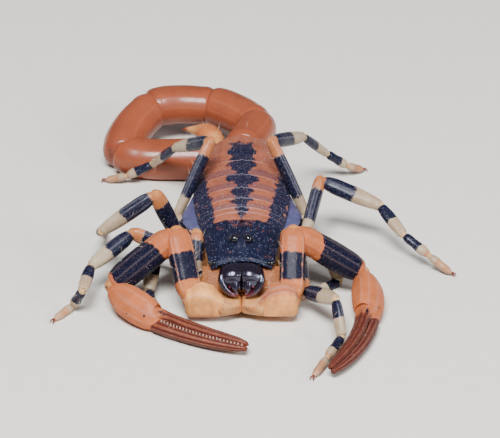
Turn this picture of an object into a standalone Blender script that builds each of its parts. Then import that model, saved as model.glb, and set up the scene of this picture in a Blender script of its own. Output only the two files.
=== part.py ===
"""A small bark scorpion, life size, as one still model of separate shell plates and limb pieces.

Lengths are in millimetres in the constants and in the shape functions, and become metres in
build_mesh. The trunk lies along Y with the head towards -Y, the animal's left side is +X, the
floor is z = 0 and the rear edge of the carapace is y = 0. At the end the whole body is shifted
so that the centre of its footprint is the origin.

Headings are degrees round Z from +X; pitches are degrees above the horizontal.
"""
import math

import bmesh
import bpy
from mathutils import Matrix, Vector

MM = 0.001
GAP = 0.28                  # clearance between neighbouring pieces
THIN_GAP = 0.10             # clearance round the two eyes, which are themselves tiny
TERGITE_GAP = 0.20          # clearance between the back plates, the shortest of which is half a millimetre

# Trunk
CARAPACE_LENGTH = 4.9
CARAPACE_FRONT_HALF = 2.02
CARAPACE_REAR_HALF = 2.65
CARAPACE_EDGE_Z = 2.68      # lower edge of its side walls
CARAPACE_CORNER_Z = 3.2     # where the top turns into the side walls
CARAPACE_FRONT_Z = 3.6
CARAPACE_REAR_Z = 4.02
TUBERCLE_Y = -2.75
TUBERCLE_RISE = 0.38
EYE_RADIUS = 0.33
EYE_HALF_SPACING = 0.45
EYE_Z = 4.13
# Lengths of the seven back plates: the front ones are telescoped, the last is the longest
TERGITE_LENGTHS = (0.5, 0.55, 0.95, 1.3, 1.75, 2.1, 4.47)
TRUNK_REAR = sum(TERGITE_LENGTHS)
# Half width and height of the back at points along the trunk
TRUNK_OUTLINE = (
    (0.0, 2.72, 4.06), (2.0, 3.10, 4.20), (4.6, 3.30, 4.26), (7.3, 2.90, 4.16), (9.3, 2.38, 4.08),
    (TRUNK_REAR, 1.72, 3.90),
)
TERGITE_DROP = 1.05         # how far a back plate's side edges lie below its middle
BELLY_Z = 0.6
BELLY_FRONT = 0.3
JAW_INNER_X = 0.13          # half the slit between the jaws
PLEURA_BULGE = 0.95         # how far the soft sides reach beyond the back plates, behind the shield

# Lengths of femur, patella, tibia, basitarsus and tarsus, the same on both sides
LEG_LENGTHS = {
    1: (2.7, 3.1, 2.4, 1.85, 1.75),
    2: (3.6, 3.9, 2.6, 2.0, 1.9),
    3: (4.7, 4.45, 2.8, 2.3, 1.9),
    4: (5.78, 4.8, 3.4, 2.1, 1.55),
}
LEG_STOUTNESS = {1: 1.12, 2: 0.88, 3: 0.94, 4: 0.80}
# Inner end of the trochanter, then its outer end, where the femur starts
LEG_HIPS = {1: (2.75, -3.6, 1.4), 2: (2.9, -1.6, 1.5), 3: (3.1, 0.3, 1.5), 4: (3.2, 2.2, 1.5)}
LEG_BENDS = {1: (3.05, -3.25, 1.65), 2: (4.0, -1.25, 1.9), 3: (4.2, 0.7, 1.95), 4: (4.5, 3.45, 1.95)}
# Headings and pitches of femur, patella, tibia and basitarsus, then the heading of the tarsus,
# whose pitch follows from its tip standing on the floor.
LEG_POSES = {
    ("left", 1): ((91, 43), (8, -22), (-60, -57), (-140, -2), -150),
    ("right", 1): ((89, 43), (-160, -19), (-106, -50), (-77, -6), -55),
    ("left", 2): ((-87, -10), (-58, 20), (-80, -39), (-120, -13), -118),
    ("right", 2): ((171, 23), (-136, -15), (-100, -7), (131, -57), -127),
    ("left", 3): ((74, 29), (-18, -16), (-54, -22), (-37, -22), -29),
    ("right", 3): ((-139, 65), (-172, -35), (92, -31), (90, -31), 92),
    ("left", 4): ((133, 51), (60, -22), (46, -44), (21, -40), 33),
    ("right", 4): ((50, 50), (127, -30), (134, -44), (180, -28), 172),
}
FOOT_RADIUS = 0.20            # height of the toe's middle, a little less than its half thickness
CLAW_LENGTH = 0.32

# Pedipalps: joints are placed from the trochanter outwards
PALP_FEMUR_LENGTH = 4.6
PALP_PATELLA_LENGTH = 5.55
CHELA_LENGTH = 11.1
MANUS_LENGTH = 4.3
PALP_HIP = (3.3, -6.1, 1.4)
PALP_POSES = {
    # femur, patella, then the chela's first and last heading, its height and its roll
    "left": ((88, 43), (-2, -33), (-78, -128), 45),
    "right": ((107, 44), (200, -34), (-50, -18), 45),
}

# Tail: lengths, headings and pitches of the five segments, then the telson's bend
TAIL_BASE = (0.05, 11.9, 2.5)
TAIL_SEGMENTS = (
    (3.8, 76, -3, 1.46),
    (4.1, 138, 2, 1.48),
    (4.3, 185, 1, 1.44),
    (5.1, 245, -13.9, 1.46),
    (6.2, -8, 0, 1.50),
)
TELSON_LENGTH = 4.7
TELSON_HEADINGS = (52, 196)
TELSON_PITCH = 20

MATERIALS = {
    "shell_dark": ((0.030, 0.034, 0.060), 0.45),
    "shell_banded": ((0.300, 0.090, 0.035), 0.42),
    "pleura": ((0.200, 0.200, 0.300), 0.50),
    "underside": ((0.620, 0.400, 0.190), 0.45),
    "jaw": ((0.030, 0.008, 0.008), 0.15),
    "eye": ((0.004, 0.004, 0.006), 0.05),
    "palp": ((0.480, 0.170, 0.070), 0.35),
    "finger": ((0.260, 0.060, 0.040), 0.35),
    "leg": ((0.330, 0.230, 0.170), 0.40),
    "tail": ((0.360, 0.080, 0.030), 0.25),
    "telson": ((0.600, 0.270, 0.090), 0.25),
}

SIGNS = {"left": 1, "right": -1}


def clear_scene():
    for obj in list(bpy.data.objects):
        bpy.data.objects.remove(obj)


def make_material(name):
    colour, roughness = MATERIALS[name]
    material = bpy.data.materials.new(name)
    material.use_nodes = True
    shader = material.node_tree.nodes["Principled BSDF"]
    shader.inputs["Base Color"].default_value = (*colour, 1.0)
    shader.inputs["Roughness"].default_value = roughness
    shader.inputs["Metallic"].default_value = 0.0
    return material


def direction(heading, pitch=0.0):
    h, p = math.radians(heading), math.radians(pitch)
    return Vector((math.cos(h) * math.cos(p), math.sin(h) * math.cos(p), math.sin(p)))


def sideways(heading):
    return direction(heading + 90)


def lerp(a, b, t):
    return a + (b - a) * t


def place(obj, origin, rotation):
    """Give an object its origin and turn, keeping the shape where it was modelled."""
    obj.location = origin * MM
    obj.rotation_euler = rotation.to_euler()
    obj.parent = bpy.data.objects["body_frame"]


def build_mesh(name, rings, material, origin, rotation):
    """Skin closed rings of points, given in the body's frame, into one solid."""
    inverse = rotation.inverted()
    bm = bmesh.new()
    loops = [[bm.verts.new((inverse @ (p - origin)) * MM) for p in ring] for ring in rings]
    count = len(rings[0])
    for first, second in zip(loops, loops[1:]):
        for i in range(count):
            j = (i + 1) % count
            bm.faces.new((first[i], first[j], second[j], second[i]))
    bm.faces.new(list(reversed(loops[0])))
    bm.faces.new(loops[-1])
    bmesh.ops.triangulate(bm, faces=bm.faces)
    bmesh.ops.recalc_face_normals(bm, faces=bm.faces)
    mesh = bpy.data.meshes.new(name)
    bm.to_mesh(mesh)
    bm.free()
    mesh.shade_smooth()
    mesh.set_sharp_from_angle(angle=math.radians(40))
    obj = bpy.data.objects.new(name, mesh)
    bpy.context.scene.collection.objects.link(obj)
    place(obj, origin, rotation)
    if material:
        mesh.materials.append(bpy.data.materials[material])
    return obj


def superellipse(width, height, sides, power):
    """Points of a rounded section, as (across, up) pairs, half a step off the axes."""
    points = []
    for i in range(sides):
        angle = 2 * math.pi * (i + 0.5) / sides
        c, s = math.cos(angle), math.sin(angle)
        across = math.copysign(abs(c) ** (2 / power), c) * width / 2
        up = math.copysign(abs(s) ** (2 / power), s) * height / 2
        points.append((across, up))
    return points


def sweep_rings(path, sizes, across, sides, power, grow):
    """Rings of a limb that runs along path, each (width, height), with width along across."""
    points = list(path)
    if grow:
        points[0] = points[0] - (points[1] - points[0]).normalized() * grow
        points[-1] = points[-1] + (points[-1] - points[-2]).normalized() * grow
    rings = []
    last = len(points) - 1
    wide = across
    for i, (centre, (width, height)) in enumerate(zip(points, sizes)):
        tangent = (points[min(i + 1, last)] - points[max(i - 1, 0)]).normalized()
        wide = across[i] if isinstance(across, list) else wide
        wide = (wide - tangent * wide.dot(tangent)).normalized()
        tall = tangent.cross(wide)
        section = superellipse(width + 2 * grow, height + 2 * grow, sides, power)
        rings.append([centre + wide * a + tall * u for a, u in section])
    return rings


def sweep(name, path, sizes, across, material, sides=8, power=2.3, grow=0.0):
    """A limb piece whose local X runs along its first stretch, flat where it meets the floor."""
    rings = sweep_rings(path, sizes, across, sides, power, grow)
    if not grow:
        rings = [[Vector((p.x, p.y, max(p.z, 0.0))) for p in ring] for ring in rings]
    forward = (path[1] - path[0]).normalized()
    rotation = forward.to_track_quat("X", "Z").to_matrix()
    return build_mesh(name, rings, material, path[0], rotation)


def keep_clear(obj, neighbour, gap=GAP):
    """Cut obj back from a neighbour made by sweep, given as its own sweep arguments."""
    cutter = sweep("clearance_" + obj.name, **neighbour, material=None, grow=gap)
    cutter.hide_render = True
    cutter.display_type = "WIRE"
    cut = obj.modifiers.new("clearance", "BOOLEAN")
    cut.operation = "DIFFERENCE"
    cut.solver = "EXACT"
    cut.object = cutter


def stations(start, end, profile):
    """Points and sizes along a straight piece, from (fraction, width, height) rows."""
    path = [start.lerp(end, t) for t, _, _ in profile]
    return path, [(w, h) for _, w, h in profile]


def scaled(profile, factor):
    return [(t, w * factor, h * factor) for t, w, h in profile]


# Leg pieces: (fraction along the piece, width, height)
TROCHANTER = [(0.0, 0.7, 0.75), (0.5, 0.9, 0.95)]
LEG_FEMUR = [(0.0, 0.85, 0.9), (0.12, 0.8, 0.9), (0.4, 0.9, 1.2), (0.86, 0.9, 1.15), (1.0, 0.75, 0.9),
             (1.06, 0.4, 0.5)]
LEG_PATELLA = [(0.0, 0.5, 0.6), (0.1, 0.85, 1.05), (0.5, 0.9, 1.25), (0.9, 0.8, 1.05), (1.0, 0.45, 0.6)]
LEG_TIBIA = [(0.0, 0.45, 0.5), (0.12, 0.68, 0.82), (0.5, 0.72, 0.95), (0.86, 0.64, 0.76)]
LEG_BASITARSUS = [(0.12, 0.50, 0.54), (0.5, 0.55, 0.64), (0.86, 0.50, 0.54)]
LEG_TARSUS = [(0.16, 0.48, 0.50), (0.55, 0.52, 0.58), (0.85, 0.50, 0.54), (1.0, 0.48, 0.48)]


def leg_joints(side, number):
    """The trochanter's two ends, the knee and the joints beyond it, ending on the floor."""
    *poses, tarsus_heading = LEG_POSES[side, number]
    *lengths, tarsus_length = LEG_LENGTHS[number]
    joints = [Vector((x * SIGNS[side], y, z)) for x, y, z in (LEG_HIPS[number], LEG_BENDS[number])]
    for (heading, pitch), length in zip(poses, lengths):
        joints.append(joints[-1] + direction(heading, pitch) * length)
    drop = joints[-1].z - FOOT_RADIUS
    tarsus_pitch = -math.degrees(math.asin(drop / tarsus_length))
    joints.append(joints[-1] + direction(tarsus_heading, tarsus_pitch) * tarsus_length)
    return joints


def bend_side(first, second):
    """The thin direction of a leg piece, square to the plane in which the knee bends."""
    return direction(*first).cross(direction(*second)).normalized()


def build_leg(side, number):
    name = f"leg_{side}_{number}"
    stout = LEG_STOUTNESS[number]
    hip, bend, knee, wrist, ankle, heel, toe = leg_joints(side, number)
    poses = LEG_POSES[side, number]
    thin = bend_side(poses[0], poses[1])

    path_a, sizes_a = stations(hip, bend, scaled(TROCHANTER, stout))
    path_b, sizes_b = stations(bend, knee, scaled(LEG_FEMUR, stout))
    femur = dict(path=path_a + path_b, sizes=sizes_a + sizes_b, across=sideways(poses[0][0]))
    sweep(name + "_femur", **femur, material="leg")

    path, sizes = stations(knee, wrist, scaled(LEG_PATELLA, stout))
    patella = dict(path=path, sizes=sizes, across=thin)
    piece = sweep(name + "_patella", **patella, material="leg")
    keep_clear(piece, femur)

    path, sizes = [], []
    for start, end, profile in (
        (wrist, ankle, scaled(LEG_TIBIA, stout)),
        (ankle, heel, LEG_BASITARSUS),
        (heel, toe, LEG_TARSUS),
    ):
        more_path, more_sizes = stations(start, end, profile)
        path += more_path
        sizes += more_sizes
    path.append(toe + direction(poses[4]) * CLAW_LENGTH)
    sizes.append((0.42, 0.42))
    piece = sweep(name + "_foot", path, sizes, thin, "leg")
    keep_clear(piece, patella)


PALP_TROCHANTER = [(0.0, 0.55, 0.65), (0.24, 1.55, 1.7), (0.36, 1.7, 1.85), (0.82, 1.7, 1.85), (1.0, 1.1, 1.3)]
PALP_FEMUR = [(0.0, 0.9, 0.9), (0.12, 1.6, 1.45), (0.5, 1.7, 1.65), (0.88, 1.7, 1.65), (1.06, 0.9, 0.9)]
PALP_PATELLA = [(0.0, 0.9, 0.9), (0.1, 1.5, 1.5), (0.35, 1.75, 1.7), (0.7, 1.8, 1.75), (0.92, 1.5, 1.45),
                (1.0, 0.9, 0.9)]


def palp_joints(side):
    x, y, z = PALP_HIP
    hip = Vector((x * SIGNS[side], y, z))
    femur_pose, patella_pose = PALP_POSES[side][:2]
    knee = hip + direction(*femur_pose) * PALP_FEMUR_LENGTH
    wrist = knee + direction(*patella_pose) * PALP_PATELLA_LENGTH
    return hip, knee, wrist


def chela_frame(side, wrist, distance):
    """A point on the chela's curved mid line, and the direction that parts its two fingers."""
    first, last = PALP_POSES[side][2]
    roll = math.radians(PALP_POSES[side][3])
    tip_z = 0.72
    steps = 24
    point = wrist.copy()
    for i in range(steps):
        t = (i + 0.5) / steps * distance / CHELA_LENGTH
        point += direction(lerp(first, last, t)) * (distance / steps)
    point.z = lerp(wrist.z, tip_z, min(1.0, distance / MANUS_LENGTH) ** 0.8)
    heading = lerp(first, last, distance / CHELA_LENGTH)
    inward = sideways(heading) * -SIGNS[side]
    apart = inward * math.cos(roll) + Vector((0, 0, math.sin(roll)))
    return point, apart


def chela_sweep(side, wrist, rows):
    """Path, sizes and width directions from (distance, offset, width, height) rows."""
    path, sizes, across = [], [], []
    for distance, offset, width, height in rows:
        point, apart = chela_frame(side, wrist, distance)
        path.append(point + apart * offset)
        sizes.append((width, height))
        across.append(apart)
    return path, sizes, across


# Rows of (distance from the wrist, offset towards the fixed finger, width, height)
HAND_ROWS = [
    (0.15, 0.0, 0.9, 0.9), (0.55, 0.0, 1.45, 1.3), (1.4, 0.0, 2.1, 1.7), (2.6, 0.0, 2.25, 1.8),
    (3.6, 0.08, 1.95, 1.55), (4.25, 0.38, 1.15, 1.25), (5.4, 0.46, 0.78, 1.05), (7.2, 0.43, 0.69, 0.95),
    (9.2, 0.37, 0.58, 0.8), (10.6, 0.29, 0.42, 0.55), (11.05, 0.18, 0.26, 0.32),
]
FINGER_ROWS = [
    (4.45, -0.46, 0.6, 0.8), (4.9, -0.47, 0.77, 1.1), (6.2, -0.46, 0.74, 1.05), (8.0, -0.42, 0.66, 0.95),
    (9.6, -0.36, 0.55, 0.8), (10.6, -0.29, 0.42, 0.6), (11.05, -0.16, 0.25, 0.35),
]


def build_palp(side):
    name = f"palp_{side}"
    sign = SIGNS[side]
    hip, knee, wrist = palp_joints(side)
    femur_heading = PALP_POSES[side][0][0]
    patella_heading = PALP_POSES[side][1][0]

    inner = Vector((0.95 * sign, -6.0, 1.2))
    outer = hip + Vector((0.58 * sign, 0, -0.1))
    path, sizes = stations(inner, outer, PALP_TROCHANTER)
    trochanter = dict(path=path, sizes=sizes, across=Vector((0, 1, 0)), sides=10, power=3.0)
    sweep(name + "_trochanter", **trochanter, material="palp")

    path, sizes = stations(hip, knee, PALP_FEMUR)
    femur = dict(path=path, sizes=sizes, across=sideways(femur_heading), sides=10)
    piece = sweep(name + "_femur", **femur, material="palp")
    keep_clear(piece, trochanter)

    path, sizes = stations(knee, wrist, PALP_PATELLA)
    patella = dict(path=path, sizes=sizes, across=sideways(patella_heading), sides=10)
    piece = sweep(name + "_patella", **patella, material="palp")
    keep_clear(piece, femur)

    path, sizes, across = chela_sweep(side, wrist, HAND_ROWS)
    hand = dict(path=path, sizes=sizes, across=across, sides=10)
    piece = sweep(name + "_hand", **hand, material="palp")
    keep_clear(piece, patella)

    path, sizes, across = chela_sweep(side, wrist, FINGER_ROWS)
    piece = sweep(name + "_finger", path, sizes, across, "finger")
    keep_clear(piece, hand)


TAIL_PROFILE = [(0.0, 0.5), (0.05, 0.78), (0.25, 0.96), (0.6, 1.0), (0.9, 0.98), (1.03, 0.72), (1.08, 0.4)]


def build_tail():
    start = Vector(TAIL_BASE)
    previous = None
    for number, (length, heading, pitch, radius) in enumerate(TAIL_SEGMENTS, 1):
        end = start + direction(heading, pitch) * length
        rows = [(t, 2 * radius * r, 2 * radius * r * 0.96) for t, r in TAIL_PROFILE]
        if number == 1:
            rows = rows[1:]
        path, sizes = stations(start, end, rows)
        segment = dict(path=path, sizes=sizes, across=sideways(heading), sides=12)
        piece = sweep(f"tail_{number}", **segment, material="tail")
        if previous:
            keep_clear(piece, previous)
        previous = segment
        start = end
    build_telson(start, previous)


def build_telson(start, last_segment):
    """The sting: a bulb that narrows into a curved point, folded back beside the tail."""
    rows = [(0.0, 0.7), (0.12, 0.95), (0.3, 1.45), (0.5, 1.68), (0.64, 1.45), (0.75, 0.95), (0.86, 0.5),
            (1.0, 0.2)]
    steps = 20
    track = [start.copy()]
    for i in range(steps):
        heading = lerp(*TELSON_HEADINGS, (i + 0.5) / steps)
        pitch = lerp(TELSON_PITCH, 0, i / steps)
        track.append(track[-1] + direction(heading, pitch) * (TELSON_LENGTH / steps))
    path, sizes, across = [], [], []
    for t, size in rows:
        path.append(track[round(t * steps)])
        sizes.append((size, size))
        across.append(sideways(lerp(*TELSON_HEADINGS, t)))
    piece = sweep("telson", path, sizes, across, "telson", sides=10)
    keep_clear(piece, last_segment)


def plate_rings(y_rows, columns, top, bottom):
    """Rings round a plate: its upper surface from right to left, then its lower one back."""
    rings = []
    for y in y_rows:
        upper = [top(-1 + 2 * i / columns, y) for i in range(columns + 1)]
        lower = [bottom(1 - 2 * i / columns, y) for i in range(columns + 1)]
        rings.append(upper + lower)
    return rings


def build_carapace():
    """The shield over the head, with a raised eye tubercle and a hollowed front edge."""
    rows = [0.0, 0.05, 0.18, 0.32, 0.44, 0.56, 0.72, 0.9, 1.0]

    def half_width(t):
        return lerp(CARAPACE_FRONT_HALF, CARAPACE_REAR_HALF, t ** 0.8)

    def front_hollow(u, t):
        return 0.3 * max(0.0, 1 - (u / 0.8) ** 2) * (1 - t) ** 3

    def top(u, t):
        x = u * half_width(t)
        crown = lerp(CARAPACE_FRONT_Z, CARAPACE_REAR_Z, t ** 0.75) - 0.12 * (1 - min(1, t / 0.05))
        y = lerp(-CARAPACE_LENGTH, -GAP / 2, t) + front_hollow(u, t)
        z = crown - (crown - CARAPACE_CORNER_Z) * abs(u) ** 3
        reach = (x / 0.75) ** 2 + ((y - TUBERCLE_Y) / 0.85) ** 2
        return Vector((x, y, z + TUBERCLE_RISE * math.exp(-reach)))

    def bottom(u, t):
        edge = top(u, t)
        return Vector((edge.x * 0.97, edge.y, CARAPACE_EDGE_Z))

    rings = plate_rings(rows, 12, top, bottom)
    carapace = build_mesh("carapace", rings, "shell_dark", Vector((0, -CARAPACE_LENGTH / 2, 0)),
                          Matrix.Identity(3))
    for side, sign in SIGNS.items():
        centre = Vector((EYE_HALF_SPACING * sign, TUBERCLE_Y - 0.12, EYE_Z))
        build_eye("eye_" + side, centre, EYE_RADIUS, "eye")
        socket = build_eye("clearance_eye_" + side, centre, EYE_RADIUS + THIN_GAP, None)
        socket.hide_render = True
        socket.display_type = "WIRE"
        cut = carapace.modifiers.new("eye_socket", "BOOLEAN")
        cut.operation = "DIFFERENCE"
        cut.solver = "EXACT"
        cut.object = socket


def build_eye(name, centre, radius, material):
    bm = bmesh.new()
    bmesh.ops.create_uvsphere(bm, u_segments=8, v_segments=6, radius=radius * MM)
    mesh = bpy.data.meshes.new(name)
    bm.to_mesh(mesh)
    bm.free()
    mesh.shade_smooth()
    if material:
        mesh.materials.append(bpy.data.materials[material])
    obj = bpy.data.objects.new(name, mesh)
    bpy.context.scene.collection.objects.link(obj)
    place(obj, centre, Matrix.Identity(3))
    return obj


def trunk_at(y):
    """Half width and height of the back at y, on a smooth curve through the outline."""
    rows = TRUNK_OUTLINE
    last = len(rows) - 1
    i = max(k for k in range(last) if k == 0 or rows[k][0] <= y)
    t = (y - rows[i][0]) / (rows[i + 1][0] - rows[i][0])
    values = []
    for column in (1, 2):
        before, a, b, after = (rows[min(last, max(0, k))][column] for k in (i - 1, i, i + 1, i + 2))
        slope_a, slope_b = (b - before) / 2, (after - a) / 2
        values.append(a + t * slope_a + t * t * (3 * (b - a) - 2 * slope_a - slope_b)
                      + t ** 3 * (2 * (a - b) + slope_a + slope_b))
    return values


def tergite_bounds():
    """Front and rear of each back plate."""
    bounds = [0.0]
    for length in TERGITE_LENGTHS:
        bounds.append(bounds[-1] + length)
    return bounds


def build_tergites():
    """The back plates, one behind the other, arched over the trunk."""
    bounds = tergite_bounds()
    for number in range(1, len(bounds)):
        front, rear = bounds[number - 1] + TERGITE_GAP / 2, bounds[number] - TERGITE_GAP / 2
        rows = [0.0, 0.3, 0.6, 0.85, 1.0] if number == len(bounds) - 1 else [0.0, 0.5, 1.0]

        def top(u, t, lift=0.0):
            half, crown = trunk_at(lerp(front, rear, t))
            drop = TERGITE_DROP * abs(u) ** 2.4 * half / 3.1
            return Vector((u * half, lerp(front, rear, t), crown + 0.08 * t - drop - lift))

        def bottom(u, t):
            return top(u, t, 0.5 - 0.25 * u * u)

        rings = plate_rings(rows, 8, top, bottom)
        build_mesh(f"tergite_{number}", rings, "shell_banded", Vector((0, front, 0)), Matrix.Identity(3))


def build_belly():
    """The soft sides, bulging beyond the back plates, with the plates of the underside.

    Below the bulge the trunk is narrower, which leaves room for the leg bases.
    """
    rings = []
    for t in (0.0, 0.05, 0.14, 0.26, 0.38, 0.5, 0.62, 0.74, 0.86, 0.96, 1.0):
        y = lerp(BELLY_FRONT, TRUNK_REAR - 0.05, t)
        half, crown = trunk_at(y)
        half += PLEURA_BULGE * math.exp(-((y - 2.0) / 1.9) ** 2)
        roof = crown - 1.15
        low = BELLY_Z + 0.45 * t ** 2
        ends = 0.85 if t in (0.0, 1.0) else 1.0
        middle = lerp(low, roof, 0.8)
        ring = []
        for across, up in superellipse(2 * half * ends, 2.0, 16, 2.2):
            if up > 0:
                z = middle + up * (roof - middle) * ends
            else:
                z = middle + up * (middle - low) * ends
                across *= 1 - 0.36 * min(1.0, -up * 1.6) * (1 - t)
            ring.append(Vector((across, y, z)))
        rings.append(ring)
    build_mesh("belly", rings, "pleura", Vector((0, BELLY_FRONT, 0)), Matrix.Identity(3))


def build_coxosternum():
    """The block of leg bases under the shield, hollowed above in front, where the jaws lie."""
    # y, half width, lowest, height at the sides, height in the middle
    rows = [(-6.6, 0.5, 0.6, 1.1, 1.1), (-6.25, 0.8, 0.42, 1.4, 1.35), (-5.5, 0.85, 0.4, 1.55, 1.5),
            (-5.05, 1.4, 0.4, 2.1, 1.6), (-4.75, 2.05, 0.4, 2.35, 1.65), (-4.3, 2.15, 0.42, 2.4, 1.8),
            (-3.6, 2.25, 0.45, 2.4, 2.35), (-1.8, 2.45, 0.5, 2.4, 2.4), (0.0, 2.55, 0.55, 2.3, 2.3)]

    def top(u, row):
        y, half, low, side_high, middle_high = row
        z = lerp(middle_high, side_high, min(1.0, abs(u) * 1.3)) - (side_high - low) * 0.3 * abs(u) ** 8
        return Vector((u * half, y, z))

    def bottom(u, row):
        y, half, low, side_high, _ = row
        return Vector((u * half, y, low + (side_high - low) * 0.4 * abs(u) ** 4))

    build_mesh("coxosternum", plate_rings(rows, 8, top, bottom), "underside", Vector((0, -3.2, 0)),
               Matrix.Identity(3))


def build_chelicerae():
    """The two jaws, side by side under the front edge, each tapering down to a pincer."""
    # y, half width of the pair, height of the middle, thickness
    rows = [(-5.0, 1.32, 2.8, 1.3), (-5.2, 1.50, 2.82, 1.7), (-5.6, 1.53, 2.78, 1.85),
            (-5.95, 1.45, 2.62, 1.65), (-6.25, 1.12, 2.32, 1.2), (-6.42, 0.7, 2.08, 0.7)]
    for side, sign in SIGNS.items():
        rings = []
        for y, half, middle, thickness in rows:
            section = superellipse(2 * half, thickness, 14, 2.2)
            rings.append([Vector((sign * max(JAW_INNER_X, a), y, middle + u)) for a, u in section])
        build_mesh("chelicera_" + side, rings, "jaw", Vector((sign * JAW_INNER_X, rows[0][0], 0)),
                   Matrix.Identity(3))


def build_pectens():
    """The pair of combs below the trunk, just behind the leg bases."""
    rows = [(0.0, 0.5, 0.3), (0.15, 0.8, 0.36), (0.6, 0.8, 0.34), (1.0, 0.4, 0.26)]
    for side, sign in SIGNS.items():
        start, end = Vector((0.35 * sign, 0.75, 0.27)), Vector((2.7 * sign, 1.9, 0.32))
        path, sizes = stations(start, end, rows)
        sweep("pecten_" + side, path, sizes, Vector((0, 1, 0)), "underside", sides=8, power=3.0)


def centre_on_footprint(frame):
    """Shift the body so that the middle of its bounding box stands over the origin."""
    bpy.context.view_layer.update()
    graph = bpy.context.evaluated_depsgraph_get()
    corners = []
    for obj in bpy.context.scene.objects:
        if obj.type != "MESH" or obj.hide_render:
            continue
        solid = obj.evaluated_get(graph)
        corners += [solid.matrix_world @ v.co for v in solid.data.vertices]
    for axis in (0, 1):
        values = [corner[axis] for corner in corners]
        frame.location[axis] = -(min(values) + max(values)) / 2


def main():
    clear_scene()
    body_frame = bpy.data.objects.new("body_frame", None)
    bpy.context.scene.collection.objects.link(body_frame)
    for name in MATERIALS:
        make_material(name)
    build_carapace()
    build_tergites()
    build_belly()
    build_coxosternum()
    build_chelicerae()
    build_pectens()
    build_tail()
    for side in SIGNS:
        build_palp(side)
        for number in LEG_LENGTHS:
            build_leg(side, number)
    centre_on_footprint(body_frame)
    bpy.context.view_layer.update()


main()
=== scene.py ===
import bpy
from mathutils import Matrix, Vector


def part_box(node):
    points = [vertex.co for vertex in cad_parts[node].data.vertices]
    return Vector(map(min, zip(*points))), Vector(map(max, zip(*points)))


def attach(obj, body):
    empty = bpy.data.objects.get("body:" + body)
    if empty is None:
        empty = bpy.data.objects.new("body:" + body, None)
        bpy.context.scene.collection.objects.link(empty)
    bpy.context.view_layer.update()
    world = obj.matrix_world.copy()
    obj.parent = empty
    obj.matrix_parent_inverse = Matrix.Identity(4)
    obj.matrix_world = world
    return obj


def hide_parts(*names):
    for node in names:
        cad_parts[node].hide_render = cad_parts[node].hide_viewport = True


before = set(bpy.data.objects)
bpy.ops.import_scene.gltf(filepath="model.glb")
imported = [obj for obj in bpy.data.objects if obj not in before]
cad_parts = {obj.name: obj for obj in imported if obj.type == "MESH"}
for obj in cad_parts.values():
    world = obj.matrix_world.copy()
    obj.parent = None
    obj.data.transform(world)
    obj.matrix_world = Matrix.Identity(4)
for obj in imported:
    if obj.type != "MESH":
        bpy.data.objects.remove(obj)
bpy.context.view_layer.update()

import math

import bmesh
import bpy
import numpy as np
from mathutils import Vector

# ---------------------------------------------------------------------------------------------
# The shield over the head: one arched plate of hard, granular, blue-black shell. It is hollowed in
# front, over the jaws, and rises in the middle to a low knob that carries the two large eyes. All
# shapes below are in body millimetres: y is 0 at the shield's rear edge and z is 0 at the floor.

MM = 0.001
SHIELD_LENGTH = 4.9
shield_low, shield_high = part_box("carapace")
BODY_ORIGIN = np.array([(shield_low.x + shield_high.x) / 2, shield_low.y + SHIELD_LENGTH * MM, 0.0])


def lerp(a, b, t):
    return a + (b - a) * t


def ease(low, high, x):
    """0 below low and 1 above high, with a soft start and end."""
    t = np.clip((x - low) / (high - low), 0.0, 1.0)
    return t * t * (3 - 2 * t)


def bell(x, centre, width):
    """1 at the centre, falling to 0.37 at width from it."""
    return np.exp(-((x - centre) / width) ** 2)


def smooth_rows(rows, count):
    """Rows of numbers, the first of each rising, read at even steps of a smooth curve through them."""
    rows = np.array(rows, float)
    key = rows[:, 0]
    slope = np.gradient(rows, key, axis=0)
    at = np.linspace(key[0], key[-1], count)
    i = np.clip(np.searchsorted(key, at, side="right") - 1, 0, len(key) - 2)
    step = (key[i + 1] - key[i])[:, None]
    s = (at - key[i])[:, None] / step
    rise = s * s * (3 - 2 * s)
    bend = s * (1 - s) ** 2 * slope[i] * step - s * s * (1 - s) * slope[i + 1] * step
    return lerp(rows[i], rows[i + 1], rise) + bend


class Value:
    """A number that varies over a surface. Arithmetic on it adds Math nodes to its tree."""

    def __init__(self, tree, socket):
        self.tree = tree
        self.socket = socket

    def __add__(self, other):
        return self.tree.math("ADD", self, other)

    def __sub__(self, other):
        return self.tree.math("SUBTRACT", self, other)

    def __rsub__(self, other):
        return self.tree.math("SUBTRACT", other, self)

    def __mul__(self, other):
        return self.tree.math("MULTIPLY", self, other)

    __radd__ = __add__
    __rmul__ = __mul__


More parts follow.
